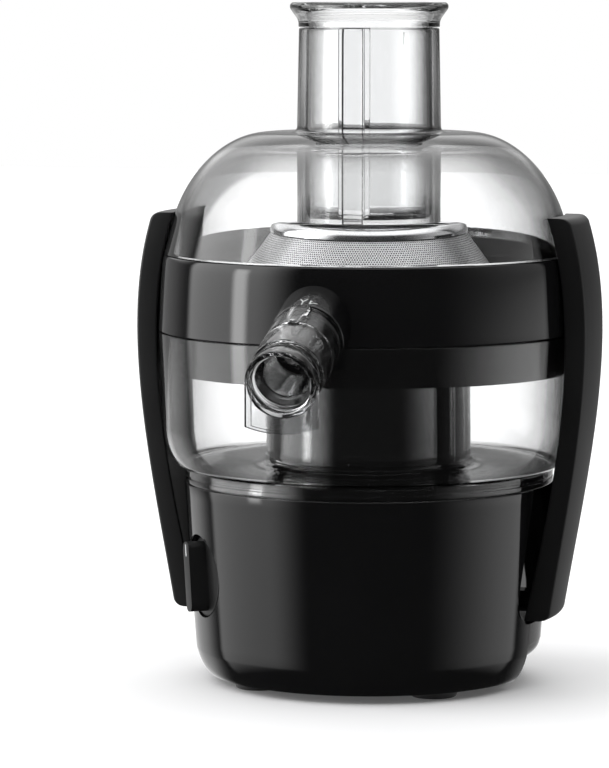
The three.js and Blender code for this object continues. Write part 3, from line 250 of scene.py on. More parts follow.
def solid(name: str, verts: Sequence[Sequence[float]], faces: Sequence[Sequence[int]]) -> bpy.types.Object:
    """An object from corners and faces, with its faces turned outwards.

    Args:
        name: Name of the object.
        verts: Corners.
        faces: Corner numbers of each face.

    Returns:
        The object, linked to the scene.
    """
    mesh = bpy.data.meshes.new(name)
    mesh.from_pydata(verts, [], faces)
    shell = bmesh.new()
    shell.from_mesh(mesh)
    bmesh.ops.recalc_face_normals(shell, faces=shell.faces)
    shell.to_mesh(mesh)
    shell.free()
    piece = bpy.data.objects.new(name, mesh)
    bpy.context.scene.collection.objects.link(piece)
    return piece


def lathe(name: str, outline: Sequence[Point], steps: int = WIDE_STEPS) -> bpy.types.Object:
    """Turns a closed outline about the main axis.

    Args:
        name: Name of the object.
        outline: Radius and height of each point. A radius of zero lies on the axis.
        steps: How many pieces the turn is cut into.

    Returns:
        The turned solid.
    """
    verts: list[tuple[float, float, float]] = []
    faces: list[list[int]] = []
    rows: list[list[int]] = []
    turns = [(math.cos(FULL_TURN * i / steps), math.sin(FULL_TURN * i / steps)) for i in range(steps)]
    for radius, height in outline:
        if radius < SPECK:
            rows.append([len(verts)] * steps)
            verts.append((0, 0, height))
        else:
            rows.append(list(range(len(verts), len(verts) + steps)))
            verts.extend((radius * c, radius * s, height) for c, s in turns)
    for row, after in zip(rows, rows[1:] + rows[:1]):
        for i in range(steps):
            j = (i + 1) % steps
            corners = list(dict.fromkeys((row[i], row[j], after[j], after[i])))
            if len(corners) > 2:
                faces.append(corners)
    return solid(name, verts, faces)


def prism(name: str, outline: Sequence[Point], low: float, high: float,
          frame: Matrix | None = None) -> bpy.types.Object:
    """A flat outline given depth.

    Args:
        name: Name of the object.
        outline: The outline's points.
        low: Where its depth starts.
        high: Where its depth ends.
        frame: Frame whose Z is the direction of depth, or none for the scene's own.

    Returns:
        The solid.
    """
    count = len(outline)
    verts = [(x, y, z) for z in (low, high) for x, y in outline]
    faces = [list(range(count)), list(range(count, 2 * count))]
    faces += [[i, (i + 1) % count, count + (i + 1) % count, count + i] for i in range(count)]
    piece = solid(name, verts, faces)
    if frame is not None:
        piece.data.transform(frame)
    return piece


def block(name: str, low: Sequence[float], high: Sequence[float]) -> bpy.types.Object:
    """A block between two corners, as a tool to cut or join with."""
    (x0, y0, z0), (x1, y1, z1) = low, high
    return prism(name, [(x0, y0), (x1, y0), (x1, y1), (x0, y1)], z0, z1)


def loft(name: str, rings: Sequence[Sequence[Vector]], closed: bool = False) -> bpy.types.Object:
    """A skin through rings of equal point counts.

    Args:
        name: Name of the object.
        rings: The rings, in order.
        closed: Whether the last ring joins the first, in place of a cap at each end.

    Returns:
        The solid.
    """
    size = len(rings[0])
    verts = [tuple(p) for ring in rings for p in ring]
    faces = []
    for i in range(len(rings) if closed else len(rings) - 1):
        base, top = i * size, ((i + 1) % len(rings)) * size
        for k in range(size):
            n = (k + 1) % size
            faces.append([base + k, base + n, top + n, top + k])
    if not closed:
        faces += [list(range(size)), list(range(len(verts) - size, len(verts)))]
    return solid(name, verts, faces)


def settled(piece: bpy.types.Object) -> bpy.types.Object:
    """Turns a piece's modifiers into its mesh."""
    bpy.context.view_layer.update()
    graph = bpy.context.evaluated_depsgraph_get()
    mesh = bpy.data.meshes.new_from_object(piece.evaluated_get(graph))
    piece.modifiers.clear()
    old = piece.data
    piece.data = mesh
    bpy.data.meshes.remove(old)
    return piece


def joined(piece: bpy.types.Object, other: bpy.types.Object, how: Join = Join.ADD) -> bpy.types.Object:
    """Combines two solids and uses up the second.

    Args:
        piece: The solid that stays.
        other: The solid that is added, cut away or kept within.
        how: Which of the three.

    Returns:
        The first solid, changed.
    """
    modifier = piece.modifiers.new("join", "BOOLEAN")
    modifier.operation = how.value
    modifier.solver = "EXACT"
    modifier.object = other
    settled(piece)
    bpy.data.objects.remove(other)
    return piece


def gathered(pieces: Sequence[bpy.types.Object]) -> bpy.types.Object:
    """Puts the meshes of several pieces into the first one, as they are."""
    shell = bmesh.new()
    for piece in pieces:
        shell.from_mesh(piece.data)
    shell.to_mesh(pieces[0].data)
    shell.free()
    for piece in pieces[1:]:
        bpy.data.objects.remove(piece)
    return pieces[0]


def copied(piece: bpy.types.Object, name: str, frame: Matrix) -> bpy.types.Object:
    """A copy of a piece, moved by a frame."""
    twin = bpy.data.objects.new(name, piece.data.copy())
    bpy.context.scene.collection.objects.link(twin)
    twin.data.transform(frame)
    return twin


def turn_about_axis(angle: float) -> Matrix:
    """A turn about the main axis."""
    return Matrix.Rotation(angle, 4, "Z")


def ringed(piece: bpy.types.Object, count: int, phase: float = 0) -> bpy.types.Object:
    """Repeats a piece evenly round the main axis, in one mesh.

    Args:
        piece: The piece to repeat.
        count: How many there are.
        phase: Angle of the first.

    Returns:
        The piece, with all its repeats.
    """
    twins = [copied(piece, piece.name, turn_about_axis(phase + FULL_TURN * i / count)) for i in range(1, count)]
    piece.data.transform(turn_about_axis(phase))
    return gathered([piece, *twins])


def bevelled(piece: bpy.types.Object, width: float, steps: int = 2) -> bpy.types.Object:
    """Rounds the sharp edges of a piece.

    Args:
        piece: The piece.
        width: Width of the rounding.
        steps: How many pieces it is cut into.

    Returns:
        The piece, changed.
    """
    modifier = piece.modifiers.new("edges", "BEVEL")
    modifier.width = width
    modifier.segments = steps
    modifier.limit_method = "ANGLE"
    modifier.angle_limit = CREASE
    modifier.harden_normals = False
    return settled(piece)


def smoothed(piece: bpy.types.Object) -> bpy.types.Object:
    """Shades a piece smoothly, with its sharp edges kept."""
    piece.data.shade_smooth()
    piece.data.set_sharp_from_angle(angle=CREASE)
    return piece


# Materials


class Graph:
    """Adds nodes to one node tree."""

    def __init__(self, tree: bpy.types.NodeTree) -> None:
        """Starts on a tree."""
        self.tree = tree

    def node(self, kind: str, inputs: dict | None = None, **settings: object) -> bpy.types.Node:
        """Adds a node.

        Args:
            kind: Node type, without its ShaderNode start.
            inputs: Values or sockets by input name or number.
            **settings: Properties of the node.

        Returns:
            The node.
        """
        made = self.tree.nodes.new("ShaderNode" + kind)
        for name, value in settings.items():
            setattr(made, name, value)
        for key, value in (inputs or {}).items():
            if isinstance(value, bpy.types.NodeSocket):
                self.tree.links.new(value, made.inputs[key])
            else:
                made.inputs[key].default_value = value
        return made

    def math(self, operation: str, *values: object) -> bpy.types.NodeSocket:
        """Adds a sum of one, two or three values and returns its result."""
        return self.node("Math", dict(enumerate(values)), operation=operation).outputs[0]

    def ramp(self, value: object, start: float, end: float, low: float = 0, high: float = 1,
             smooth: bool = True) -> bpy.types.NodeSocket:
        """Maps a value from one span to another, held at both ends.

        Args:
            value: The value or socket.
            start: Value that gives the low result.
            end: Value that gives the high result.
            low: Result at the start.
            high: Result at the end.
            smooth: Whether it eases in and out.

        Returns:
            The mapped value.
        """
        inputs = {"Value": value, "From Min": start, "From Max": end, "To Min": low, "To Max": high}
        kind = "SMOOTHSTEP" if smooth else "LINEAR"
        return self.node("MapRange", inputs, interpolation_type=kind).outputs[0]

    def blend(self, share: object, first: Sequence[float], second: Sequence[float]) -> bpy.types.NodeSocket:
        """Mixes two colours by a share."""
        mix = self.node("Mix", {0: share, 6: first, 7: second}, data_type="RGBA")
        return mix.outputs[2]


def opaque(color: Sequence[float]) -> tuple[float, float, float, float]:
    """A colour with full cover."""
    return (color[0], color[1], color[2], 1.0)


class EffectGroups:
    """Shader groups that several finishes share. Each is built on its first use."""

    def __init__(self) -> None:
        """Starts with no groups."""
        self.made: dict[str, bpy.types.NodeTree] = {}

    def _start(self, name: str, inputs: Sequence[tuple[str, str, float]], outputs: Sequence[str]) -> Graph:
        """Makes an empty group with its sockets.

        Args:
            name: Name of the group.
            inputs: Name, socket type and default of each input.
            outputs: Names of the outputs, all plain numbers.

        Returns:
            The group's graph.
        """
        tree = bpy.data.node_groups.new(name, "ShaderNodeTree")
        for label, kind, default in inputs:
            socket = tree.interface.new_socket(label, in_out="INPUT", socket_type=kind)
            if kind == "NodeSocketFloat":
                socket.default_value = default
        for label in outputs:
            tree.interface.new_socket(label, in_out="OUTPUT", socket_type="NodeSocketFloat")
        self.made[name] = tree
        return Graph(tree)

    def surface(self) -> bpy.types.NodeTree:
        """Uneven sheen and fine grain of a worked surface: a mask, a roughness and a height."""
        name = "surface_grain"
        if name in self.made:
            return self.made[name]
        graph = self._start(name, [
            ("Patch Scale", "NodeSocketFloat", 20.0), ("Grain Scale", "NodeSocketFloat", 900.0),
            ("Smooth", "NodeSocketFloat", 0.2), ("Rough", "NodeSocketFloat", 0.3),
            ("Stretch", "NodeSocketFloat", 1.0),
        ], ["Mask", "Roughness", "Height"])
        given = graph.tree.nodes.new("NodeGroupInput").outputs
        place = graph.node("TexCoord").outputs["Object"]
        spread = graph.node("CombineXYZ", {"X": 1.0, "Y": 1.0, "Z": given["Stretch"]}).outputs[0]
        place = graph.node("VectorMath", {0: place, 1: spread}, operation="MULTIPLY").outputs[0]
        patch = graph.node("TexNoise", {"Vector": place, "Scale": given["Patch Scale"], "Detail": 4.0})
        grain = graph.node("TexNoise", {"Vector": place, "Scale": given["Grain Scale"], "Detail": 2.0})
        mask = graph.ramp(patch.outputs[0], 0.35, 0.65)
        rough = graph.node("MapRange", {
            "Value": mask, "To Min": given["Smooth"], "To Max": given["Rough"],
        }).outputs[0]
        end = graph.tree.nodes.new("NodeGroupOutput").inputs
        for socket, value in zip(end, (mask, rough, grain.outputs[0])):
            graph.tree.links.new(value, socket)
        return graph.tree

    def perforation(self) -> bpy.types.NodeTree:
        """Round holes in staggered rows over a piece's map: a mask of the holes and a height."""
        name = "staggered_holes"
        if name in self.made:
            return self.made[name]
        graph = self._start(name, [
            ("Pitch", "NodeSocketFloat", 0.001), ("Hole Share", "NodeSocketFloat", 0.3),
        ], ["Mask", "Height"])
        given = graph.tree.nodes.new("NodeGroupInput").outputs
        place = graph.node("SeparateXYZ", {0: graph.node("UVMap").outputs[0]}).outputs
        across = graph.math("DIVIDE", place[0], given["Pitch"])
        up = graph.math("DIVIDE", place[1], graph.math("MULTIPLY", given["Pitch"], math.sqrt(3)))
        spans = []
        for shift in (0, 0.5):
            x = graph.math("SUBTRACT", graph.math("FRACT", graph.math("ADD", across, shift)), 0.5)
            y = graph.math("SUBTRACT", graph.math("FRACT", graph.math("ADD", up, shift)), 0.5)
            y = graph.math("MULTIPLY", y, math.sqrt(3))
            spans.append(graph.math("SQRT", graph.math(
                "ADD", graph.math("MULTIPLY", x, x), graph.math("MULTIPLY", y, y))))
        span = graph.math("MINIMUM", *spans)
        rim = graph.math("ADD", given["Hole Share"], 0.06)
        mask = graph.node("MapRange", {
            "Value": span, "From Min": given["Hole Share"], "From Max": rim, "To Min": 1.0, "To Max": 0.0,
        }).outputs[0]
        end = graph.tree.nodes.new("NodeGroupOutput").inputs
        graph.tree.links.new(mask, end[0])
        graph.tree.links.new(graph.math("SUBTRACT", 1.0, mask), end[1])
        return graph.tree


@dataclass(frozen=True)
class Finish:
    """A moulded or worked surface: two close tones, an uneven sheen and a fine grain."""

    color: tuple[float, float, float]
    worn: tuple[float, float, float]
    smooth: float
    rough: float
    metallic: float = 0.0
    specular: float = 0.5
    patch_scale: float = 18.0
    grain_scale: float = 1200.0
    grain_depth: float = 0.00002
    stretch: float = 1.0

    def build(self, name: str, groups: EffectGroups) -> bpy.types.Material:
        """Makes the material.

        Args:
            name: Name of the material.
            groups: Shader groups to draw on.

        Returns:
            The material.
        """
        material = bpy.data.materials.new(name)
        material.use_nodes = True
        graph = Graph(material.node_tree)
        shader = material.node_tree.nodes["Principled BSDF"]
        effect = graph.node("Group", node_tree=groups.surface())
        for label, value in (("Patch Scale", self.patch_scale), ("Grain Scale", self.grain_scale),
                             ("Smooth", self.smooth), ("Rough", self.rough), ("Stretch", self.stretch)):
            effect.inputs[label].default_value = value
        tone = graph.blend(effect.outputs["Mask"], opaque(self.color), opaque(self.worn))
        graph.tree.links.new(tone, shader.inputs["Base Color"])
        graph.tree.links.new(effect.outputs["Roughness"], shader.inputs["Roughness"])
        bump = graph.node("Bump", {"Height": effect.outputs["Height"], "Distance": self.grain_depth})
        graph.tree.links.new(bump.outputs[0], shader.inputs["Normal"])
        shader.inputs["Metallic"].default_value = self.metallic
        shader.inputs["Specular IOR Level"].default_value = self.specular
        self.refine(graph, shader, groups)
        return material

    def refine(self, graph: Graph, shader: bpy.types.Node, groups: EffectGroups) -> None:
        """Adds what a special finish needs. A plain one needs nothing."""


@dataclass(frozen=True)
class ClearFinish(Finish):
    """Clear moulded plastic, with painted shade that darkens its colour where it is seen at a slant."""

    ior: float = 1.49
    # Painted shade: the colour that the plastic takes where it is seen at a slant, easing back at the very rim
    slant: tuple[float, float, float] = (0.06, 0.06, 0.06)
    painted_shade_start: float = 0.22
    painted_shade_end: float = 0.72
    rim_end: float = 0.9
    rim_shade_share: float = 0.25

    def refine(self, graph: Graph, shader: bpy.types.Node, groups: EffectGroups) -> None:
        """Lets light through, and mixes painted shade into its colour where it is seen at a slant."""
        # Painted shade, darker towards a grazing view, in place of the darkening that slanted walls give
        facing = graph.node("LayerWeight", {"Blend": 0.5}).outputs["Facing"]
        share = graph.ramp(facing, self.painted_shade_start, self.painted_shade_end, smooth=False)
        rim = graph.ramp(facing, self.painted_shade_end, self.rim_end, 1.0, self.rim_shade_share)
        share = graph.math("MULTIPLY", share, rim)
        tone = shader.inputs["Base Color"].links[0].from_socket
        mix = graph.node("Mix", {0: share, 6: tone, 7: opaque(self.slant)}, data_type="RGBA")
        graph.tree.links.new(mix.outputs[2], shader.inputs["Base Color"])
        shader.inputs["Transmission Weight"].default_value = 1.0
        shader.inputs["IOR"].default_value = self.ior


@dataclass(frozen=True)
class PerforatedFinish(Finish):
    """Steel sheet with fine staggered holes, painted near black as painted shade seen through them."""

    pitch: float = 0.0012
    hole_share: float = 0.28
    # Near-black colour painted into the holes, as painted shade of the space seen through them
    hole: tuple[float, float, float] = (0.02, 0.02, 0.02)
    hole_depth: float = 0.0002

    def refine(self, graph: Graph, shader: bpy.types.Node, groups: EffectGroups) -> None:
        """Paints the holes near black and not metallic, as painted shade of the space seen through them, and
        sinks them.
        """
        holes = graph.node("Group", node_tree=groups.perforation())
        holes.inputs["Pitch"].default_value = self.pitch
        holes.inputs["Hole Share"].default_value = self.hole_share
        # Painted shade in the holes: the colour goes near black and the metal goes off
        tone = shader.inputs["Base Color"].links[0].from_socket
        mix = graph.node("Mix", {0: holes.outputs["Mask"], 6: tone, 7: opaque(self.hole)}, data_type="RGBA")
        graph.tree.links.new(mix.outputs[2], shader.inputs["Base Color"])
        solid_part = graph.math("MULTIPLY", holes.outputs["Height"], self.metallic)
        graph.tree.links.new(solid_part, shader.inputs["Metallic"])
        grain = shader.inputs["Normal"].links[0].from_socket
        bump = graph.node("Bump", {
            "Height": holes.outputs["Height"], "Distance": self.hole_depth, "Normal": grain,
        })
        graph.tree.links.new(bump.outputs[0], shader.inputs["Normal"])


@dataclass(frozen=True)
class BandedFinish(Finish):
    """A stack of sheets or turns of wire, as fine bands up the piece."""

    band_scale: float = 500.0
    band_depth: float = 0.0002

    def refine(self, graph: Graph, shader: bpy.types.Node, groups: EffectGroups) -> None:
        """Adds the bands."""
        place = graph.node("TexCoord").outputs["Object"]
        bands = graph.node("TexWave", {"Vector": place, "Scale": self.band_scale, "Distortion": 0.4},
                           bands_direction="Z")
        grain = shader.inputs["Normal"].links[0].from_socket
        bump = graph.node("Bump", {"Height": bands.outputs[1], "Distance": self.band_depth, "Normal": grain})
        graph.tree.links.new(bump.outputs[0], shader.inputs["Normal"])


FINISHES: dict[Slot, Finish] = {
    Slot.GLOSS_BLACK: Finish((0.0036, 0.0036, 0.0038), (0.0044, 0.0044, 0.0046), 0.05, 0.075,
                             grain_depth=0.000004),
    Slot.SATIN_BLACK: Finish((0.006, 0.006, 0.0063), (0.008, 0.008, 0.0083), 0.42, 0.46, specular=0.42,
                             grain_depth=0.00003, grain_scale=2600.0),
    Slot.INNER_BLACK: Finish((0.014, 0.014, 0.015), (0.02, 0.02, 0.021), 0.5, 0.6, grain_depth=0.00005),
    # Both clear finishes carry painted shade where they are seen at a slant; the smoke one's is a paler grey
    Slot.CLEAR: ClearFinish((0.965, 0.968, 0.97), (0.975, 0.977, 0.978), 0.0, 0.015, grain_depth=0.000002),
    Slot.SMOKE: ClearFinish((0.72, 0.725, 0.73), (0.76, 0.765, 0.77), 0.05, 0.07, grain_depth=0.000002,
                            slant=(0.3, 0.3, 0.3)),
    Slot.POLISHED_STEEL: Finish((0.78, 0.78, 0.79), (0.72, 0.72, 0.73), 0.12, 0.17, metallic=1.0,
                                grain_depth=0.000004),
    Slot.MESH_STEEL: PerforatedFinish((0.74, 0.74, 0.75), (0.66, 0.66, 0.67), 0.3, 0.38, metallic=1.0),
    Slot.SHAFT_STEEL: Finish((0.6, 0.61, 0.62), (0.5, 0.51, 0.52), 0.25, 0.35, metallic=1.0),
    Slot.CORE_STEEL: BandedFinish((0.35, 0.36, 0.38), (0.26, 0.27, 0.28), 0.45, 0.6, metallic=1.0),
    Slot.COPPER: BandedFinish((0.62, 0.28, 0.13), (0.5, 0.2, 0.09), 0.3, 0.42, metallic=1.0),
    Slot.BRASS: Finish((0.68, 0.52, 0.24), (0.58, 0.43, 0.19), 0.28, 0.4, metallic=1.0),
    Slot.CARBON: Finish((0.03, 0.03, 0.032), (0.05, 0.05, 0.052), 0.6, 0.75, grain_depth=0.0001),
    Slot.CAST_ALUMINIUM: Finish((0.6, 0.61, 0.62), (0.5, 0.51, 0.52), 0.4, 0.55, metallic=1.0,
                                grain_depth=0.0001, grain_scale=600.0),
    Slot.RUBBER: Finish((0.05, 0.05, 0.05), (0.065, 0.065, 0.065), 0.5, 0.65, grain_depth=0.00006),
}
WHITE_INK = Finish((0.62, 0.63, 0.63), (0.55, 0.56, 0.56), 0.45, 0.55)


@dataclass(frozen=True)
class Levels:
    """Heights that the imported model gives, and where its main axis stands."""

    axis: Matrix
    base_floor: float
    deck_top: float
    neck_top: float
    container_foot: float
    container_top: float
    collector_foot: float
    collector_top: float
    skirt_foot: float
    lid_foot: float
    tube_foot: float
    tube_top: float
    pusher_foot: float
    pusher_rim: float
    filter_mouth: float
    filter_rim_top: float
    cone_top: float
    cone_foot: float
    filter_plate_top: float

    @classmethod
    def read(cls, lid_lip_height: float) -> Levels:
        """Reads them from the boxes of the model's pieces.

        Args:
            lid_lip_height: How far the lid's lip hangs below its rim.

        Returns:
            The levels.
        """
        container_low, container_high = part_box("pulp_container")
        base_low, base_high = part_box("front_housing")
        collector_low, collector_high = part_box("juice_collector")
        lid_low, lid_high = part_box("lid")
        pusher_low, pusher_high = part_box("pusher")
        rim_low, rim_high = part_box("filter_rim")
        cone_low, cone_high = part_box("filter_mesh")
        middle = (container_low + container_high) / 2
        lid_foot = lid_low.z + lid_lip_height
        return cls(
            axis=Matrix.Translation((middle.x, middle.y, 0)),
            base_floor=base_low.z, deck_top=base_high.z, neck_top=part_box("top_deck")[1].z,
            container_foot=container_low.z, container_top=container_high.z,
            collector_foot=container_high.z + SEAT_GAP, collector_top=lid_foot - SEAT_GAP,
            skirt_foot=collector_low.z, lid_foot=lid_foot,
            tube_foot=pusher_low.z - Pusher.foot_rise, tube_top=lid_high.z,
            pusher_foot=pusher_low.z, pusher_rim=pusher_high.z,
            filter_mouth=rim_low.z, filter_rim_top=rim_high.z, cone_top=cone_high.z, cone_foot=cone_low.z,
            filter_plate_top=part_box("filter_base")[1].z - FilterBasket.boss_height,
        )


class Shop:
    """Finishes pieces and sets them on the model's bodies."""

    def __init__(self, axis: Matrix) -> None:
        """Builds every finish.

        Args:
            axis: Frame of the main axis.
        """
        groups = EffectGroups()
        self.axis = axis
        self.materials = {slot: finish.build(slot.value, groups) for slot, finish in FINISHES.items()}
        self.ink = WHITE_INK.build("white_ink", groups)
        self.covered: set[str] = set()

    def fit(self, piece: bpy.types.Object, body: Body, slot: Slot, *nodes: str) -> None:
        """Finishes a piece and sets it in place.

        Args:
            piece: The piece, shaped about the main axis.
            body: Body that it rides on.
            slot: Its finish.
            *nodes: Nodes of the model that it stands for.
        """
        piece.data.transform(self.axis)
        smoothed(piece)
        piece.data.materials.clear()
        piece.data.materials.append(self.materials[slot])
        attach(piece, body.value)
        if nodes:
            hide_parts(*nodes)
            self.covered.update(nodes)
        LOG.info("%s rides on %s, finished in %s", piece.name, body.value, slot.value)

    def dress(self, node: bpy.types.Object, slot: Slot) -> None:
        """Gives a node of the model its finish.

        Args:
            node: The node.
            slot: Its finish.
        """
        node.data.materials.clear()
        node.data.materials.append(self.materials[slot])
        LOG.info("%s keeps its own shape, finished in %s", node.name, slot.value)


# Sub-assemblies


@dataclass
class BaseUnit:
    """The motor base: two shells, the deck with its neck, the bottom plate, feet and cord gland."""

    top_radius: float = 0.0806
    waist_radius: float = 0.0779
    waist_share: float = 0.529
    foot_radius: float = 0.0754
    edge_height: float = 0.0115
    edge_round: float = 0.0058
    edge_lean: tuple[float, float] = (0.66, 0.26)
    opening_lip: float = 0.0016
    lip_height: float = 0.0033
    wall: float = 0.0028
    rim_ease: float = 0.0006
    ledge_depth: float = 0.0032
    ledge_height: float = 0.0024
    deck_thickness: float = 0.003
    seam: float = 0.013
    groove_height: float = 0.0088
    rear_edge: float = 0.0065
    upstand_radius: float = 0.0564
    upstand_wall: float = 0.0024
    neck_radius: float = 0.0415
    neck_wall: float = 0.0025
    neck_shoulder: float = 0.0035
    plateau_radius: float = 0.0769
    plateau_rise: float = 0.0051
    plateau_ease: float = 0.0012
    seal_radius: float = 0.009
    pocket_set: float = 0.0093
    pocket_halves: tuple[float, float, float, float] = (0.0184, 0.0254, 0.0231, 0.017)
    pocket_shares: tuple[float, float, float] = (0.4417, 0.351, 0.2976)
    pocket_ease: float = 0.003
    ear_radius: float = 0.0045
    ear_width: float = 0.0094
    pin_bore: float = 0.0023
    plate_radius: float = 0.0693
    plate_rear_radius: float = 0.066
    plate_thickness: float = 0.003
    plate_ease: float = 0.0005
    vent_count: int = 8
    vent_start: float = 0.014
    vent_length: float = 0.016
    vent_width: float = 0.0032
    foot_pad_radius: float = 0.0109
    screw_sink_radius: float = 0.0033
    screw_sink_depth: float = 0.0018
    foot_pad_taper: float = 0.0012
    foot_ease: float = 0.0009
    foot_stem_radius: float = 0.0026
    foot_dish_radius: float = 0.006
    foot_dish_depth: float = 0.0005
    gland_radius: float = 0.0065
    gland_waist: float = 0.0044
    gland_bore: float = 0.0032
    gland_flange: float = 0.003
    gland_ease: float = 0.0006
    gland_slits: int = 3

    def build(self, shop: Shop, levels: Levels) -> None:
        """Makes and fits every piece of the base.

        Args:
            shop: Where pieces are finished and set in place.
            levels: Heights of the model.
        """
        self.levels = levels
        self.knob = KnobSet()
        shop.fit(self.front_shell(), Body.BASE, Slot.GLOSS_BLACK, "front_housing")
        shop.fit(self.rear_shell(), Body.BASE, Slot.GLOSS_BLACK, "rear_housing")
        shop.fit(self.deck(), Body.BASE, Slot.GLOSS_BLACK, "top_deck")
        shop.fit(self.bottom_plate(), Body.BASE, Slot.INNER_BLACK, "bottom_plate")
        for i in range(1, 5):
            shop.fit(self.foot(f"rubber_foot_{i}"), Body.BASE, Slot.RUBBER, f"rubber_foot_{i}")
        shop.fit(self.gland(), Body.BASE, Slot.RUBBER, "cord_gland")

    @property
    def height(self) -> float:
        """Height of the shells."""
        return self.levels.deck_top - self.levels.base_floor

    @property
    def edge_top(self) -> float:
        """Level where the rounded bottom edge meets the side."""
        return self.levels.base_floor + self.edge_height

    @property
    def groove_top(self) -> float:
        """Level of the rear shell's raised bottom."""
        return self.levels.base_floor + self.groove_height

    @property
    def opening_radius(self) -> float:
        """Radius of the front shell's opening underneath."""
        return self.foot_radius - self.edge_round

    @property
    def deck_under(self) -> float:
        """Level of the deck's underside."""
        return self.levels.deck_top - self.deck_thickness

    def side(self, inset: float = 0) -> Outline:
        """The curved side from the bottom edge up to the deck.

        Args:
            inset: How far it is moved inwards.

        Returns:
            Its points, from the bottom up.
        """
        waist = self.levels.base_floor + self.height * self.waist_share
        return bend((self.foot_radius - inset, self.edge_top), (self.waist_radius - inset, waist),
                    (self.top_radius - inset, self.levels.deck_top))

    def rim(self) -> Outline:
        """The eased top edge of the outer skin, closed to the axis."""
        top = self.levels.deck_top
        return [*bend((self.top_radius, top - self.rim_ease), (self.top_radius, top),
                      (self.top_radius - self.rim_ease, top), EDGE_STEPS), (0, top)]

    def hollow(self, name: str, opening: float, low: float, lip: float) -> bpy.types.Object:
        """The space inside a shell, with the ledge that carries the deck.

        Args:
            name: Name of the tool.
            opening: Radius of the opening underneath.
            low: Level of the shell's foot.
            lip: Thickness of the lip round that opening.

        Returns:
            A tool to cut with.
        """
        inner = self.side(self.wall)
        ledge_top = self.deck_under - SEAT_GAP
        ledge_foot = ledge_top - self.ledge_height
        ledge_wall = inner[-1][0]
        wall = [p for p in inner if low + lip < p[1] < ledge_foot - self.ledge_depth]
        top = self.levels.deck_top + OVERRUN
        return lathe(name, [
            (0, low - OVERRUN), (opening, low - OVERRUN), (opening, low + lip),
            (inner[0][0] - self.opening_lip, low + lip), *wall,
            (ledge_wall - self.ledge_depth, ledge_foot), (ledge_wall - self.ledge_depth, ledge_top),
            (ledge_wall, ledge_top), (ledge_wall, top), (0, top),
        ])

    def pocket(self, grow: float = 0) -> bpy.types.Object:
        """The tapered notches that both clamps stand in.

        Args:
            grow: How far they are widened, for the walls round them.

        Returns:
            A tool to cut with.
        """
        low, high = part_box("clamp_pin_right")
        inner = (low.x + high.x) / 2 - self.pocket_set - grow
        levels = [self.levels.base_floor + self.height * share for share in self.pocket_shares]
        tops = [self.levels.deck_top + OVERRUN, levels[0], levels[1] - grow, levels[2] - grow]
        side = [(half + grow, level) for half, level in zip(self.pocket_halves, tops)]
        ease = self.pocket_ease + grow
        corners = [(*side[0],), (*side[1], ease), (*side[2], ease), (*side[3], ease)]
        mirrored = [(-c[0], *c[1:]) for c in reversed(corners)]
        along_x = Matrix(((0, 0, 1, 0), (1, 0, 0, 0), (0, 1, 0, 0), (0, 0, 0, 1)))
        outline = eased([*corners, *mirrored])
        right = prism("pocket", outline, inner, self.top_radius + OVERRUN + OVERRUN, along_x)
        return gathered([right, copied(right, "pocket_left", turn_about_axis(HALF_TURN))])

    def side_block(self, name: str, ahead: bool) -> bpy.types.Object:
        """The room ahead of or behind the seam between the two shells."""
        reach = self.top_radius + OVERRUN
        if ahead:
            return block(name, (-reach, -reach, -reach), (reach, -self.seam - SEAT_GAP, reach))
        return block(name, (-reach, -self.seam, -reach), (reach, reach, reach))

    def front_shell(self) -> bpy.types.Object:
        """The front shell, with the recess that the knob stands in."""
        floor = self.levels.base_floor
        lean, lift = self.edge_lean
        edge = bend((self.opening_radius, floor), (self.opening_radius + self.edge_round * lean,
                                                   floor + self.edge_height * lift),
                    (self.foot_radius, self.edge_top))
        shell = lathe("front_shell", [(0, floor), *edge, *self.side()[1:-1], *self.rim()])
        hollow = self.hollow("front_hollow", self.opening_radius, floor, self.lip_height)
        joined(hollow, self.pocket(self.wall), Join.CUT)
        joined(hollow, self.knob.recess(self.wall), Join.CUT)
        joined(shell, self.side_block("ahead", True), Join.KEEP)
        joined(shell, self.pocket(), Join.CUT)
        joined(shell, self.knob.recess(0), Join.CUT)
        joined(shell, hollow, Join.CUT)
        return joined(shell, self.knob.spindle_hole(), Join.CUT)

    def rear_shell(self) -> bpy.types.Object:
        """The rear shell, raised over the cord groove, with the ears for the clamps' pins."""
        low = self.groove_top
        edge_top = low + self.rear_edge
        edge = oval((self.foot_radius - self.rear_edge, edge_top), self.rear_edge, self.rear_edge,
                    -QUARTER_TURN, 0, EDGE_STEPS + EDGE_STEPS)
        side = [p for p in self.side() if p[1] > edge_top + SEAT_GAP]
        shell = lathe("rear_shell", [(0, low), *edge, *side[:-1], *self.rim()])
        hollow = self.hollow("rear_hollow", self.upstand_radius + SEAT_GAP, low, self.wall)
        joined(hollow, self.pocket(self.wall), Join.CUT)
        joined(shell, self.side_block("behind", False), Join.KEEP)
        joined(shell, self.pocket(), Join.CUT)
        joined(shell, hollow, Join.CUT)
        for turn in (0, HALF_TURN):
            joined(shell, self.ear(turn))
        return joined(shell, self.gland_hole(), Join.CUT)

    def ear(self, turn: float) -> bpy.types.Object:
        """An ear on a pocket's floor that carries a clamp's pin.

        Args:
            turn: Which side it is on, as a turn about the main axis.

        Returns:
            The ear.
        """
        low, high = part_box("clamp_pin_right")
        pivot = (low + high) / 2
        root = pivot.x - self.pocket_set - self.wall / 2
        nose = oval((pivot.x, pivot.z), self.ear_radius, self.ear_radius, -QUARTER_TURN, QUARTER_TURN)
        outline = [(root, pivot.z - self.ear_radius), *nose, (root, pivot.z + self.ear_radius)]
        half = self.ear_width / 2
        upright = Matrix(((1, 0, 0, 0), (0, 0, -1, 0), (0, 1, 0, 0), (0, 0, 0, 1)))
        ear = prism("ear", outline, -half, half, upright)
        bore = oval((pivot.x, pivot.z), self.pin_bore, self.pin_bore, 0, FULL_TURN)[:-1]
        joined(ear, prism("ear_bore", bore, -self.ear_width, self.ear_width, upright), Join.CUT)
        ear.data.transform(turn_about_axis(turn))
        return ear

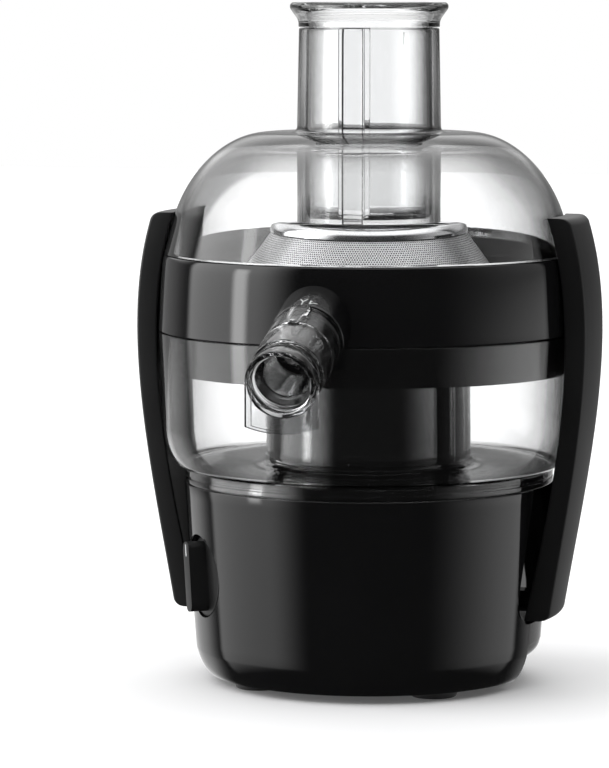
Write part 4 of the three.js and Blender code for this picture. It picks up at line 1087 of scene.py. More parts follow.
    def deck(self) -> bpy.types.Object:
        """The deck with the neck that stands inside the container's chimney."""
        top, neck_top = self.levels.deck_top, self.levels.neck_top
        radius = self.top_radius - self.wall - SEAT_GAP
        bore = self.neck_radius - self.neck_wall
        raised = self.levels.container_foot + self.plateau_rise - SEAT_GAP
        inner = self.plateau_radius - self.deck_thickness
        deck = lathe("deck_and_neck", eased([
            (bore, raised - self.deck_thickness), (inner, raised - self.deck_thickness), (inner, self.deck_under),
            (radius, self.deck_under), (radius, top, self.rim_ease), (self.plateau_radius, top),
            (self.plateau_radius, raised, self.plateau_ease), (self.neck_radius, raised),
            (self.neck_radius, neck_top, self.neck_shoulder),
            (self.seal_radius, neck_top, self.rim_ease), (self.seal_radius, neck_top - self.neck_wall),
            (bore, neck_top - self.neck_wall, self.neck_shoulder),
        ], CURVE_STEPS))
        return joined(deck, self.pocket(self.wall + SEAT_GAP), Join.CUT)

    def bottom_plate(self) -> bpy.types.Object:
        """The bottom plate with its upstand and vents."""
        floor = self.levels.base_floor
        top = floor + self.plate_thickness
        ease = self.plate_ease
        plate = lathe("floor_plate", eased([
            (0, floor), (self.plate_radius, floor, ease), (self.plate_radius, top, ease), (0, top)]))
        joined(plate, self.side_block("plate_front", True), Join.KEEP)
        rear = lathe("plate_rear", eased([
            (0, floor), (self.plate_rear_radius, floor, ease), (self.plate_rear_radius, top, ease), (0, top)]))
        joined(plate, rear)
        inner = self.upstand_radius - self.upstand_wall
        upstand_top = self.groove_top + self.wall
        joined(plate, lathe("upstand", ring_outline(self.upstand_radius, inner, top - ease, upstand_top)))
        half = self.vent_width / 2
        end = self.vent_start + self.vent_length
        slot = eased([(self.vent_start, -half, half), (end, -half, half), (end, half, half),
                      (self.vent_start, half, half)])
        vents = ringed(prism("vents", slot, 0, self.groove_top), self.vent_count)
        joined(plate, vents, Join.CUT)
        ring = oval((0, 0), self.screw_sink_radius, self.screw_sink_radius, 0, FULL_TURN, SMALL_STEPS)[:-1]
        for i in range(1, 5):
            low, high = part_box(f"bottom_screw_{i}")
            place = Matrix.Translation(self_place((low + high) / 2, self.levels.axis))
            sink = prism("screw_sink", ring, 0, floor + self.screw_sink_depth, place)
            joined(plate, sink, Join.CUT)
        return plate

    def foot(self, node: str) -> bpy.types.Object:
        """A rubber foot with a shallow dish under it.

        Args:
            node: The foot's node in the model.

        Returns:
            The foot.
        """
        low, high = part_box(node)
        middle = (low + high) / 2
        under = self.levels.base_floor - SEAT_GAP
        pad = self.foot_pad_radius
        foot = lathe(node + "_pad", eased([
            (0, self.foot_dish_depth), (self.foot_dish_radius, self.foot_dish_depth, self.foot_dish_depth),
            (self.foot_dish_radius + self.foot_dish_depth, 0, self.foot_dish_depth),
            (pad - self.foot_pad_taper, 0, self.foot_ease), (pad, under, self.foot_ease),
            (self.foot_stem_radius, under), (self.foot_stem_radius, high.z, self.foot_dish_depth), (0, high.z),
        ]), MIDDLE_STEPS)
        place = self_place(middle, self.levels.axis)
        foot.data.transform(Matrix.Translation(place))
        return foot

    def gland_hole(self) -> bpy.types.Object:
        """The hole in the rear wall that the gland sits in."""
        low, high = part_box("cord_gland")
        hole = prism("gland_hole", oval((0, 0), self.gland_waist + SLIDE_GAP, self.gland_waist + SLIDE_GAP,
                                        0, FULL_TURN, SMALL_STEPS)[:-1], 0, self.top_radius + OVERRUN)
        hole.data.transform(Matrix.Translation((0, 0, (low.z + high.z) / 2)) @ facing_back())
        return hole

    def gland(self) -> bpy.types.Object:
        """The cord gland, a flanged rubber sleeve."""
        low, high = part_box("cord_gland")
        start = self_place(low, self.levels.axis).y
        end = self_place(high, self.levels.axis).y
        ease = self.gland_ease
        flange = self.gland_flange
        gland = lathe("gland_sleeve", eased([
            (self.gland_bore, start, ease), (self.gland_radius, start, ease),
            (self.gland_radius, start + flange / 2, ease), (self.gland_waist, start + flange / 2),
            (self.gland_waist, end - flange), (self.gland_radius, end - flange, ease),
            (self.gland_waist + SLIDE_GAP, end, ease), (self.gland_bore, end, ease),
        ]), MIDDLE_STEPS)
        gland.data.transform(Matrix.Translation((0, 0, (low.z + high.z) / 2)) @ facing_back())
        return gland


def self_place(point: Vector, axis: Matrix) -> Vector:
    """A point of the frame as seen from the main axis, on the floor."""
    local = axis.inverted() @ point
    return Vector((local.x, local.y, 0))


def facing_back() -> Matrix:
    """A turn that lays a piece's own axis along +Y."""
    return Matrix.Rotation(-QUARTER_TURN, 4, "X")


@dataclass
class KnobSet:
    """The control knob, its grip bar and its pointer line, in a recess of the front shell."""

    turn: float = math.radians(216)
    pointer_turn: float = math.radians(10)
    recess_radius: float = 0.07214
    recess_reach: float = 0.0886
    radius: float = 0.0176
    thickness: float = 0.0034
    edge: float = 0.0009
    grip_share: float = 0.86
    grip_width: float = 0.007
    grip_height: float = 0.008
    grip_ease: float = 0.0012
    grip_sink: float = 0.001
    spindle_radius: float = 0.003
    spindle_gap: float = 0.0003
    socket_depth: float = 0.002
    line_length: float = 0.0052
    line_width: float = 0.0011
    line_inset: float = 0.0012
    line_proud: float = 0.00008

    def frame(self) -> Matrix:
        """Frame of the knob: its Z points out of the base."""
        low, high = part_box("knob_spindle")
        up = Matrix.Translation((0, 0, (low.z + high.z) / 2))
        return turn_about_axis(self.turn) @ up @ Matrix.Rotation(QUARTER_TURN, 4, "Y")

    def recess(self, grow: float) -> bpy.types.Object:
        """The round recess.

        Args:
            grow: How far it is widened, for the wall round it.

        Returns:
            A tool to cut with.
        """
        radius = self.radius + SLIDE_GAP + grow
        ring = oval((0, 0), radius, radius, 0, FULL_TURN, MIDDLE_STEPS)[:-1]
        return prism("recess", ring, self.recess_radius - grow, self.recess_reach, self.frame())

    def spindle_hole(self) -> bpy.types.Object:
        """The hole that the spindle passes through."""
        radius = self.spindle_radius + SLIDE_GAP
        ring = oval((0, 0), radius, radius, 0, FULL_TURN, SMALL_STEPS)[:-1]
        return prism("spindle_hole", ring, self.recess_radius / 2, self.recess_reach, self.frame())

    def build(self, shop: Shop) -> None:
        """Makes and fits the knob and its pointer line."""
        foot = self.recess_radius + SEAT_GAP
        face = foot + self.thickness
        bore = self.spindle_radius + self.spindle_gap
        knob = lathe("knob", eased([
            (0, foot + self.socket_depth), (bore, foot + self.socket_depth), (bore, foot),
            (self.radius, foot, self.edge / 3), (self.radius, face, self.edge), (0, face),
        ]), MIDDLE_STEPS)
        half_length = self.radius * self.grip_share
        half_width = self.grip_width / 2
        high = face + self.grip_height
        bar = prism("grip", eased([
            (-half_length, -half_width, half_width), (half_length, -half_width, half_width),
            (half_length, half_width, half_width), (-half_length, half_width, half_width),
        ], CURVE_STEPS), face - self.grip_sink, high)
        bar.data.transform(Matrix.Rotation(self.pointer_turn, 4, "Z"))
        joined(knob, bar)
        bevelled(knob, self.grip_ease / 2, 3)
        knob.data.transform(self.frame())
        shop.fit(knob, Body.KNOB, Slot.SATIN_BLACK, "control_knob")
        tip = half_length - self.line_inset
        half_line = self.line_width / 2
        line = prism("pointer_line", eased([
            (-tip, -half_line, half_line), (-tip + self.line_length, -half_line, half_line),
            (-tip + self.line_length, half_line, half_line), (-tip, half_line, half_line),
        ]), high - self.grip_sink, high + self.line_proud)
        line.data.transform(self.frame() @ Matrix.Rotation(self.pointer_turn, 4, "Z"))
        shop.fit(line, Body.KNOB, Slot.SATIN_BLACK)
        line.data.materials[0] = shop.ink


@dataclass
class PulpContainer:
    """The clear trough round a chimney."""

    rim_radius: float = 0.0915
    belly_radius: float = 0.0896
    belly_height: float = 0.026
    shoulder_radius: float = 0.0842
    shoulder_height: float = 0.0076
    foot_radius: float = 0.0806
    foot_height: float = 0.006
    foot_width: float = 0.0032
    wall: float = 0.0026
    floor_height: float = 0.0077
    chimney_bore: float = 0.042
    chimney_flare: float = 0.0065
    chimney_proud: float = 0.0033
    ease: float = 0.0005
    bead_low: float = 0.0022
    bead_high: float = 0.0032
    bead_depth: float = 0.0005

    def build(self, shop: Shop, levels: Levels) -> None:
        """Makes and fits the container."""
        foot, top = levels.container_foot, levels.container_top
        floor_top = foot + self.floor_height
        floor_under = floor_top - self.wall
        chimney = self.chimney_bore + self.wall
        chimney_top = levels.neck_top + self.chimney_proud

        def side(inset: float) -> Outline:
            """The side, moved inwards by an inset."""
            return bend((self.shoulder_radius - inset, foot + self.shoulder_height),
                        (self.belly_radius - inset, foot + self.shoulder_height + self.foot_height),
                        (self.belly_radius - inset, foot + self.belly_height))

        inner = self.foot_radius - self.foot_width
        outer = [
            *eased([(inner, foot, self.ease), (self.foot_radius, foot, self.ease),
                    (self.foot_radius, foot + self.bead_low, self.ease / 2),
                    (self.foot_radius - self.bead_depth, foot + self.bead_low),
                    (self.foot_radius - self.bead_depth, foot + self.bead_high),
                    (self.foot_radius, foot + self.bead_high, self.ease / 2),
                    (self.foot_radius, foot + self.foot_height, self.ease),
                    (self.shoulder_radius, foot + self.shoulder_height)])[:-1],
            *side(0),
        ]
        rim = eased([(self.belly_radius, foot + self.belly_height), (self.rim_radius, top, self.ease),
                     (self.rim_radius - self.wall, top, self.ease),
                     (self.belly_radius - self.wall, foot + self.belly_height)])[1:-1]
        inside = side(self.wall)
        inside.reverse()
        well = inside[-1][0] - self.wall
        outline = [
            *outer, *rim, *inside, *bend(inside[-1], (inside[-1][0], floor_top), (well, floor_top), EDGE_STEPS),
            *bend((chimney + self.chimney_flare, floor_top), (chimney, floor_top),
                  (chimney, floor_top + self.chimney_flare)),
            (chimney, chimney_top - self.wall), (self.chimney_bore, chimney_top),
            *bend((self.chimney_bore, floor_under + self.wall), (self.chimney_bore, floor_under),
                  (self.chimney_bore + self.wall, floor_under), EDGE_STEPS),
            (inner, floor_under),
        ]
        shop.fit(lathe("container_trough", outline), Body.BASE, Slot.CLEAR, "pulp_container")


@dataclass
class SpoutFrame:
    """Where the spout stands: its Z runs out along its bore and its Y leans up."""

    dip: float = math.radians(20.7)
    rise: float = 0.0088
    start: float = 0.09
    stub_length: float = 0.013

    def matrix(self, levels: Levels) -> Matrix:
        """The frame, from the main axis."""
        out = Vector((0, -math.cos(self.dip), -math.sin(self.dip)))
        up = Vector((0, -math.sin(self.dip), math.cos(self.dip)))
        turn = Matrix((Vector((1, 0, 0)), up, out)).transposed().to_4x4()
        return Matrix.Translation((0, -self.start, levels.collector_foot + self.rise)) @ turn


@dataclass
class JuiceCollector:
    """The black ring that gathers the juice, with its skirt, stub and lock marks."""

    rim_radius: float = 0.0889
    foot_radius: float = 0.0915
    rim_wall: float = 0.0025
    wall: float = 0.0032
    floor: float = 0.0028
    skirt_radius: float = 0.0884
    skirt_wall: float = 0.0024
    skirt_taper: float = 0.0011
    channel_radius: float = 0.0678
    channel_wall: float = 0.0024
    channel_height: float = 0.0127
    channel_drop: float = 0.003
    rim_ease: float = 0.0008
    ease: float = 0.0005
    stub_radius: float = 0.0157
    stub_bore: float = 0.008
    stub_edge: float = 0.001
    spigot_radius: float = 0.0117
    spigot_length: float = 0.0122
    groove_depth: float = 0.0011
    groove_width: float = 0.003
    groove_set: float = 0.0007
    mark_size: float = 0.0018
    mark_stretch: float = 1.4
    mark_stroke: float = 0.0005
    mark_level: float = 0.0098
    mark_proud: float = 0.00006
    mark_turns: tuple[float, float] = (math.radians(3), math.radians(-14))

    def band_radius(self, level: float, levels: Levels) -> float:
        """Radius of the outer band at a level."""
        share = (levels.collector_top - level) / (levels.collector_top - levels.collector_foot)
        return self.rim_radius + (self.foot_radius - self.rim_radius) * math.sqrt(max(0.0, share))

    def build(self, shop: Shop, levels: Levels, frame: SpoutFrame) -> None:
        """Makes and fits the collector and its marks.

        Args:
            shop: Where pieces are finished and set in place.
            levels: Heights of the model.
            frame: Where the spout stands.
        """
        body = self.ring(levels)
        stub = self.stub(frame, levels)
        inside = lathe("collector_inside", [
            (0, levels.skirt_foot), (self.foot_radius - self.wall, levels.skirt_foot),
            (self.foot_radius - self.wall, levels.collector_top), (0, levels.collector_top)])
        joined(stub, inside, Join.CUT)
        under = lathe("container_room", [
            (0, 0), (self.foot_radius + SLIDE_GAP, 0), (self.foot_radius + SLIDE_GAP, levels.collector_foot),
            (0, levels.collector_foot)])
        joined(stub, under, Join.CUT)
        joined(body, stub)
        bore = prism("bore", oval((0, 0), self.stub_bore, self.stub_bore, 0, FULL_TURN, MIDDLE_STEPS)[:-1],
                     -self.stub_radius, frame.stub_length + self.spigot_length + OVERRUN, frame.matrix(levels))
        joined(body, bore, Join.CUT)
        shop.fit(body, Body.BASE, Slot.GLOSS_BLACK, "juice_collector")
        marks = self.marks(frame, levels)
        shop.fit(marks, Body.BASE, Slot.GLOSS_BLACK)
        marks.data.materials[0] = shop.ink

    def ring(self, levels: Levels) -> bpy.types.Object:
        """The turned ring."""
        foot, top = levels.collector_foot, levels.collector_top
        inner = self.foot_radius - self.wall
        heights = [foot + (top - foot) * share for share in even_stops()]
        band = [(self.band_radius(level, levels), level) for level in heights]
        rim = eased([band[-2], (self.rim_radius, top, self.rim_ease),
                     (self.rim_radius - self.rim_wall, top, self.rim_ease), (inner, (foot + top) / 2)])[1:-1]
        channel = self.channel_radius
        under = foot - self.floor
        skirt = self.skirt_radius
        return lathe("collector_ring", [
            (skirt, foot), (self.foot_radius - self.ease, foot), (self.foot_radius, foot + self.ease),
            *band[1:-1], *rim, (inner, (foot + top) / 2), (inner, foot + self.floor),
            (inner - self.floor, foot), (channel, foot), (channel, foot + self.channel_height),
            (channel - self.channel_wall, foot + self.channel_height),
            (channel - self.channel_wall, under - self.channel_drop), (channel, under - self.channel_drop),
            (channel, under), (skirt - self.skirt_wall, under),
            *eased([(skirt - self.skirt_wall, under),
                    (skirt - self.skirt_wall - self.skirt_taper, levels.skirt_foot, self.ease),
                    (skirt - self.skirt_taper, levels.skirt_foot, self.ease), (skirt, foot)])[1:-1],
        ])

    def stub(self, frame: SpoutFrame, levels: Levels) -> bpy.types.Object:
        """The stub and the spigot that carry the spout."""
        end = frame.stub_length
        tip = end + self.spigot_length
        groove = end + self.groove_set
        deep = self.spigot_radius - self.groove_depth
        stub = lathe("stub", eased([
            (0, -self.stub_radius), (self.stub_radius, -self.stub_radius),
            (self.stub_radius, end, self.stub_edge), (self.spigot_radius, end),
            (self.spigot_radius, groove), (deep, groove), (deep, groove + self.groove_width),
            (self.spigot_radius, groove + self.groove_width), (self.spigot_radius, tip, self.stub_edge),
            (0, tip),
        ]), MIDDLE_STEPS)
        stub.data.transform(frame.matrix(levels))
        return stub

    def marks(self, frame: SpoutFrame, levels: Levels) -> bpy.types.Object:
        """An open chevron and a triangle on the stub, as thin white inlays."""
        size, stroke = self.mark_size, self.mark_stroke
        chevron = [(-size, size), (-size + stroke, size), (0, stroke), (size - stroke, size), (size, size),
                   (stroke / 2, 0), (stroke / 2, -size), (-stroke / 2, -size), (-stroke / 2, 0)]
        outer = [(-size, -size * 0.7), (size, 0), (-size, size * 0.7)]
        inner = [(x * 0.5 - stroke * 0.6, y * 0.42) for x, y in outer]
        bars = [[outer[i], outer[(i + 1) % 3], inner[(i + 1) % 3], inner[i]] for i in range(3)]
        pieces = []
        for shapes, turn in zip(([chevron], bars), self.mark_turns):
            for shape in shapes:
                pieces.append(self.inlay(shape, turn, frame, levels))
        marks = gathered(pieces)
        marks.name = "lock_marks"
        return marks

    def inlay(self, shape: Sequence[Point], turn: float, frame: SpoutFrame,
              levels: Levels) -> bpy.types.Object:
        """A flat shape laid on the stub's round side.

        Args:
            shape: Its outline, across and along the stub.
            turn: Where it lies round the stub.
            frame: Where the spout stands.
            levels: Heights of the model.

        Returns:
            The inlay.
        """
        rings = []
        for radius in (self.stub_radius - self.ease, self.stub_radius + self.mark_proud):
            ring = []
            for x, y in shape:
                angle = QUARTER_TURN + turn - x / self.stub_radius
                ring.append(frame.matrix(levels) @ Vector((
                    radius * math.cos(angle), radius * math.sin(angle),
                    self.mark_level - y * self.mark_stretch)))
            rings.append(ring)
        return loft("lock_marks", rings)


@dataclass
class Spout:
    """The smoke-clear spout: a barrel, a necked mouth and a hanging apron."""

    bore: float = 0.0122
    radius: float = 0.0154
    neck_radius: float = 0.0134
    mouth_radius: float = 0.0151
    mouth_bore: float = 0.0128
    throat: float = 0.0096
    barrel_length: float = 0.0317
    neck_length: float = 0.005
    mouth_length: float = 0.00555
    flare_length: float = 0.0075
    socket_length: float = 0.0122
    ease: float = 0.0006
    neck_ease: float = 0.0012
    apron_drop: float = 0.0173
    apron_sag: float = 0.0026
    apron_wall: float = 0.0022
    apron_set: float = 0.0016
    apron_band: float = 0.0026
    latch_width: float = 0.009
    latch_narrow: float = 0.0038
    latch_length: float = 0.0172
    latch_height: float = 0.0014
    latch_lip: float = 0.0012
    latch_bevel: float = 0.0008

    def build(self, shop: Shop, levels: Levels, frame: SpoutFrame) -> None:
        """Makes and fits the spout."""
        place = frame.matrix(levels)
        start = frame.stub_length + SEAT_GAP
        neck = start + self.barrel_length
        mouth = neck + self.neck_length
        end = mouth + self.mouth_length
        socket = frame.stub_length + self.socket_length + SEAT_GAP
        barrel = lathe("spout_body", eased([
            (self.bore, start, self.ease / 2), (self.radius, start, self.ease), (self.radius, neck, self.ease),
            (self.neck_radius, neck, self.neck_ease), (self.neck_radius, mouth, self.neck_ease),
            (self.mouth_radius, mouth, self.ease), (self.mouth_radius, end, self.ease),
            (self.mouth_bore, end, self.ease), (self.throat, end - self.flare_length, self.flare_length / 3),
            (self.throat, socket, self.ease), (self.bore, socket, self.ease / 2),
        ]), MIDDLE_STEPS)
        joined(barrel, self.latch(start))
        barrel.data.transform(place)
        joined(barrel, self.apron(place, mouth, end))
        shop.fit(barrel, Body.SPOUT, Slot.SMOKE, "spout")

    def latch(self, start: float) -> bpy.types.Object:
        """The tapered latch on top of the barrel, with sloping sides."""
        wide, narrow = self.latch_width / 2, self.latch_narrow / 2
        near, far = start + self.latch_lip, start + self.latch_length
        low, high = self.radius - self.latch_lip / 2, self.radius + self.latch_height
        rings = []
        for level, inset in ((low, 0), (high - self.latch_bevel, 0), (high, self.latch_bevel)):
            corners = eased([
                (-wide + inset, near + inset, self.ease), (wide - inset, near + inset, self.ease),
                (wide - inset, (near + far) / 2, self.ease), (narrow - inset, far - inset, self.ease),
                (-narrow + inset, far - inset, self.ease), (-wide + inset, (near + far) / 2, self.ease),
            ], 2)
            rings.append([Vector((x, level, z)) for x, z in corners])
        return loft("latch", rings)

    def apron(self, place: Matrix, mouth: float, end: float) -> bpy.types.Object:
        """The hanging apron with a band down each side.

        Args:
            place: The spout's frame.
            mouth: Where the mouth ring starts along the bore.
            end: Where the spout ends along the bore.

        Returns:
            The apron.
        """
        centre = place @ Vector((0, 0, end))
        side, foot = self.mouth_radius, centre.z - self.apron_drop
        back = centre.y + self.apron_set + self.apron_wall
        upright = Matrix(((1, 0, 0, 0), (0, 0, 1, 0), (0, 1, 0, 0), (0, 0, 0, 1)))

        def sag(x: float) -> float:
            """Level of the lower edge at x."""
            return foot - self.apron_sag * (1 - (x / side) ** 2)

        xs = [side * (2 * t - 1) for t in even_stops()]
        sheet = [(-side, centre.z), *((x, sag(x)) for x in xs), (side, centre.z)]
        apron = prism("apron", sheet, centre.y + self.apron_set, back, upright)
        for sign in (-1, 1):
            inner = sign * (side - self.apron_band)
            outer = sign * side
            band = prism("band", [(inner, centre.z), (inner, sag(inner)), (outer, sag(outer)),
                                  (outer, centre.z)], centre.y, back, upright)
            joined(apron, band)
        outer = [(x, sag(x)) for x in xs]
        inner = [(x, level + self.apron_band / 2) for x, level in reversed(outer)]
        joined(apron, prism("foot_band", [*outer, *inner], centre.y, back, upright))
        bevelled(apron, self.ease / 2)
        ring = oval((0, 0), self.mouth_bore, self.mouth_bore, 0, FULL_TURN, MIDDLE_STEPS)[:-1]
        return joined(apron, prism("throat", ring, mouth, end + OVERRUN, place), Join.CUT)


@dataclass
class FilterBasket:
    """The spinning basket: rolled rim, perforated cone, hub with spokes and the toothed disc."""

    mouth_radius: float = 0.0432
    rim_half_width: float = 0.0044
    rim_wall: float = 0.0009
    cone_top_radius: float = 0.0424
    cone_foot_radius: float = 0.0626
    cone_wall: float = 0.0008
    ring_radius: float = 0.0638
    ring_width: float = 0.0052
    ring_height: float = 0.0048
    plate_radius: float = 0.036
    plate_thickness: float = 0.0016
    hub_radius: float = 0.014
    hub_height: float = 0.0092
    socket_radius: float = 0.0083
    socket_depth: float = 0.0056
    spoke_count: int = 6
    spoke_width: float = 0.004
    spoke_height: float = 0.003
    boss_radius: float = 0.0046
    boss_height: float = 0.004
    ease: float = 0.0005
    grater_radius: float = 0.0355
    grater_hole: float = 0.005
    grater_thickness: float = 0.0012
    tooth_radius: float = 0.0011
    tooth_height: float = 0.0017
    tooth_sink: float = 0.0003
    row_start: float = 0.013
    row_step: float = 0.006
    row_counts: tuple[int, ...] = (8, 12, 16, 20)

    def build(self, shop: Shop, levels: Levels) -> None:
        """Makes and fits every piece of the basket."""
        shop.fit(self.rim(levels), Body.ROTOR, Slot.POLISHED_STEEL, "filter_rim")
        shop.fit(self.cone(levels), Body.ROTOR, Slot.MESH_STEEL, "filter_mesh")
        shop.fit(self.hub(levels), Body.ROTOR, Slot.SATIN_BLACK, "filter_base")
        shop.fit(self.grater(levels), Body.ROTOR, Slot.POLISHED_STEEL, "grater_disc")

    def rim(self, levels: Levels) -> bpy.types.Object:
        """The rolled rim."""
        centre = (self.mouth_radius - self.rim_half_width, levels.filter_mouth)
        height = levels.filter_rim_top - levels.filter_mouth
        turn = HALF_TURN - QUARTER_TURN / 2
        outer = oval(centre, self.rim_half_width, height, 0, turn)
        inner = oval(centre, self.rim_half_width - self.rim_wall, height - self.rim_wall, turn, 0)
        return lathe("basket_rim", [*outer, *inner])

    def cone(self, levels: Levels) -> bpy.types.Object:
        """The perforated cone, with a map of distances for its holes."""
        top, foot = levels.cone_top, levels.cone_foot
        cone = lathe("basket_cone", [
            (self.cone_foot_radius, foot), (self.cone_top_radius, top),
            (self.cone_top_radius - self.cone_wall, top), (self.cone_foot_radius - self.cone_wall, foot)])
        middle = (self.cone_foot_radius + self.cone_top_radius) / 2
        slant = math.hypot(self.cone_foot_radius - self.cone_top_radius, top - foot) / (top - foot)
        chart = cone.data.uv_layers.new(name="holes")
        for face in cone.data.polygons:
            angles = [math.atan2(cone.data.vertices[v].co.y, cone.data.vertices[v].co.x) for v in face.vertices]
            wraps = max(angles) - min(angles) > HALF_TURN
            for loop, vertex, angle in zip(face.loop_indices, face.vertices, angles):
                turn = angle + FULL_TURN if wraps and angle < 0 else angle
                height = (cone.data.vertices[vertex].co.z - foot) * slant
                chart.data[loop].uv = (turn * middle, height)
        return cone

    def hub(self, levels: Levels) -> bpy.types.Object:
        """The moulded base with its ring, spokes and hub."""
        top = levels.filter_plate_top
        under = top - self.plate_thickness
        ring_top = top + self.plate_thickness
        ease = self.ease
        hub = lathe("basket_hub", eased([
            (0, top - self.hub_height + self.socket_depth), (self.socket_radius, top - self.hub_height
                                                             + self.socket_depth),
            (self.socket_radius, top - self.hub_height, ease), (self.hub_radius, top - self.hub_height, ease),
            (self.hub_radius, under, ease), (self.plate_radius, under, ease), (self.plate_radius, top, ease),
            (self.boss_radius, top), (self.boss_radius, top + self.boss_height, ease),
            (0, top + self.boss_height),
        ]), MIDDLE_STEPS)
        ring = lathe("basket_ring", ring_outline(
            self.ring_radius, self.ring_radius - self.ring_width, ring_top - self.ring_height, ring_top, ease))
        reach = self.ring_radius - self.ring_width / 2
        for i in range(self.spoke_count):
            spoke = block("spoke", (self.hub_radius, -self.spoke_width / 2, top - self.spoke_height),
                          (reach, self.spoke_width / 2, top))
            spoke.data.transform(turn_about_axis(FULL_TURN * i / self.spoke_count))
            joined(hub, spoke)
        return joined(hub, ring)

    def grater(self, levels: Levels) -> bpy.types.Object:
        """The toothed steel disc."""
        low = levels.filter_plate_top + SEAT_GAP
        high = low + self.grater_thickness
        disc = lathe("grater", ring_outline(self.grater_radius, self.grater_hole, low, high, self.ease / 2),
                     MIDDLE_STEPS)
        teeth = [disc]
        for row, count in enumerate(self.row_counts):
            place = self.row_start + self.row_step * row
            base = high - self.tooth_sink
            ring = [(place + self.tooth_radius * math.cos(FULL_TURN * k / 5),
                     self.tooth_radius * math.sin(FULL_TURN * k / 5), base) for k in range(5)]
            tooth = solid("tooth", [*ring, (place, 0, base + self.tooth_height)],
                          [list(range(5)), *[[k, (k + 1) % 5, 5] for k in range(5)]])
            teeth.append(ringed(tooth, count, (row % 2) * HALF_TURN / count))
        return gathered(teeth)


@dataclass
class Lid:
    """The clear dome with its feed tube, the rib inside the tube and a fill mark on it."""

    rim_radius: float = 0.0889
    shoulder_radius: float = 0.0846
    shoulder_level: float = 0.0162
    shoulder_rise: float = 0.018
    shoulder_lean: float = 0.0054
    height: float = 0.0523
    top_radius: float = 0.044
    crown_reach: float = 0.019
    wall: float = 0.003
    lip_radius: float = 0.0859
    lip_height: float = 0.0048
    lip_wall: float = 0.0024
    tube_radius: float = 0.0312
    tube_top_radius: float = 0.0304
    tube_wall: float = 0.0025
    tube_fillet: float = 0.003
    rib_width: float = 0.0085
    rib_depth: float = 0.0026
    ease: float = 0.0005
    rim_ease: float = 0.0009
    mark_turn: float = math.radians(-47)
    mark_width: float = 0.0005
    mark_length: float = 0.0055
    mark_foot: float = 0.002
    mark_drop: float = 0.0015

    def curve(self, inset: float, levels: Levels) -> Outline:
        """The dome's side, from the shoulder to the crown.

        Args:
            inset: How far it is moved inwards.
            levels: Heights of the model.

        Returns:
            Its points.
        """
        side = levels.lid_foot + self.shoulder_level
        top = levels.lid_foot + self.height - inset
        return sweep([
            (self.shoulder_radius - inset, side),
            (self.shoulder_radius - inset - self.shoulder_lean, side + self.shoulder_rise),
            (self.top_radius + self.crown_reach, top), (self.top_radius, top),
        ], even_stops(CURVE_STEPS + CURVE_STEPS))

    def build(self, shop: Shop, levels: Levels) -> None:
        """Makes and fits the lid."""
        crown = levels.lid_foot + self.height
        under = crown - self.wall
        fillet = self.tube_fillet
        tube, tube_top = self.tube_radius, self.tube_top_radius
        foot, top = levels.lid_foot, levels.tube_top
        lip = self.lip_radius
        inner_curve = self.curve(self.wall, levels)
        inner_curve.reverse()
        tube_rim = eased([(tube, crown + fillet), (tube_top, top, self.rim_ease),
                          (tube_top - self.tube_wall, top, self.ease),
                          (tube - self.tube_wall, levels.tube_foot, self.ease),
                          (tube, levels.tube_foot, self.ease), (tube, under - fillet)])[1:-1]
        lip_edge = eased([inner_curve[-1], (lip - self.lip_wall, foot - self.lip_height, self.ease),
                          (lip, foot - self.lip_height, self.ease), (lip, foot)])[1:-1]
        lid = lathe("dome_and_tube", [
            (self.rim_radius, foot), *self.curve(0, levels),
            *bend((tube + fillet, crown), (tube, crown), (tube, crown + fillet)),
            *tube_rim,
            *bend((tube, under - fillet), (tube, under), (tube + fillet, under)),
            *inner_curve, *lip_edge, (lip, foot),
        ])
        inner = tube_top - self.tube_wall - self.rib_depth
        rib = block("rib", (-self.rib_width / 2, -tube_top + self.tube_wall / 2, levels.tube_foot),
                    (self.rib_width / 2, -inner, top - self.ease))
        bevelled(rib, self.rim_ease, 3)
        joined(lid, rib)
        joined(lid, self.mark(levels))
        shop.fit(lid, Body.LID, Slot.CLEAR, "lid")

    def mark(self, levels: Levels) -> bpy.types.Object:
        """A short raised line with a foot, near the top of the tube."""
        high = levels.tube_top - self.mark_drop
        low = high - self.mark_length
        width = self.mark_width
        shape = [(0, high), (0, low), (self.mark_foot, low), (self.mark_foot, low + width), (width, low + width),
                 (width, high)]
        rings = []
        for radius in (self.tube_top_radius - width, self.tube_top_radius + width):
            rings.append([Vector((radius * math.cos(self.mark_turn + x / radius),
                                  radius * math.sin(self.mark_turn + x / radius), z)) for x, z in shape])
        return loft("tube_mark", rings)


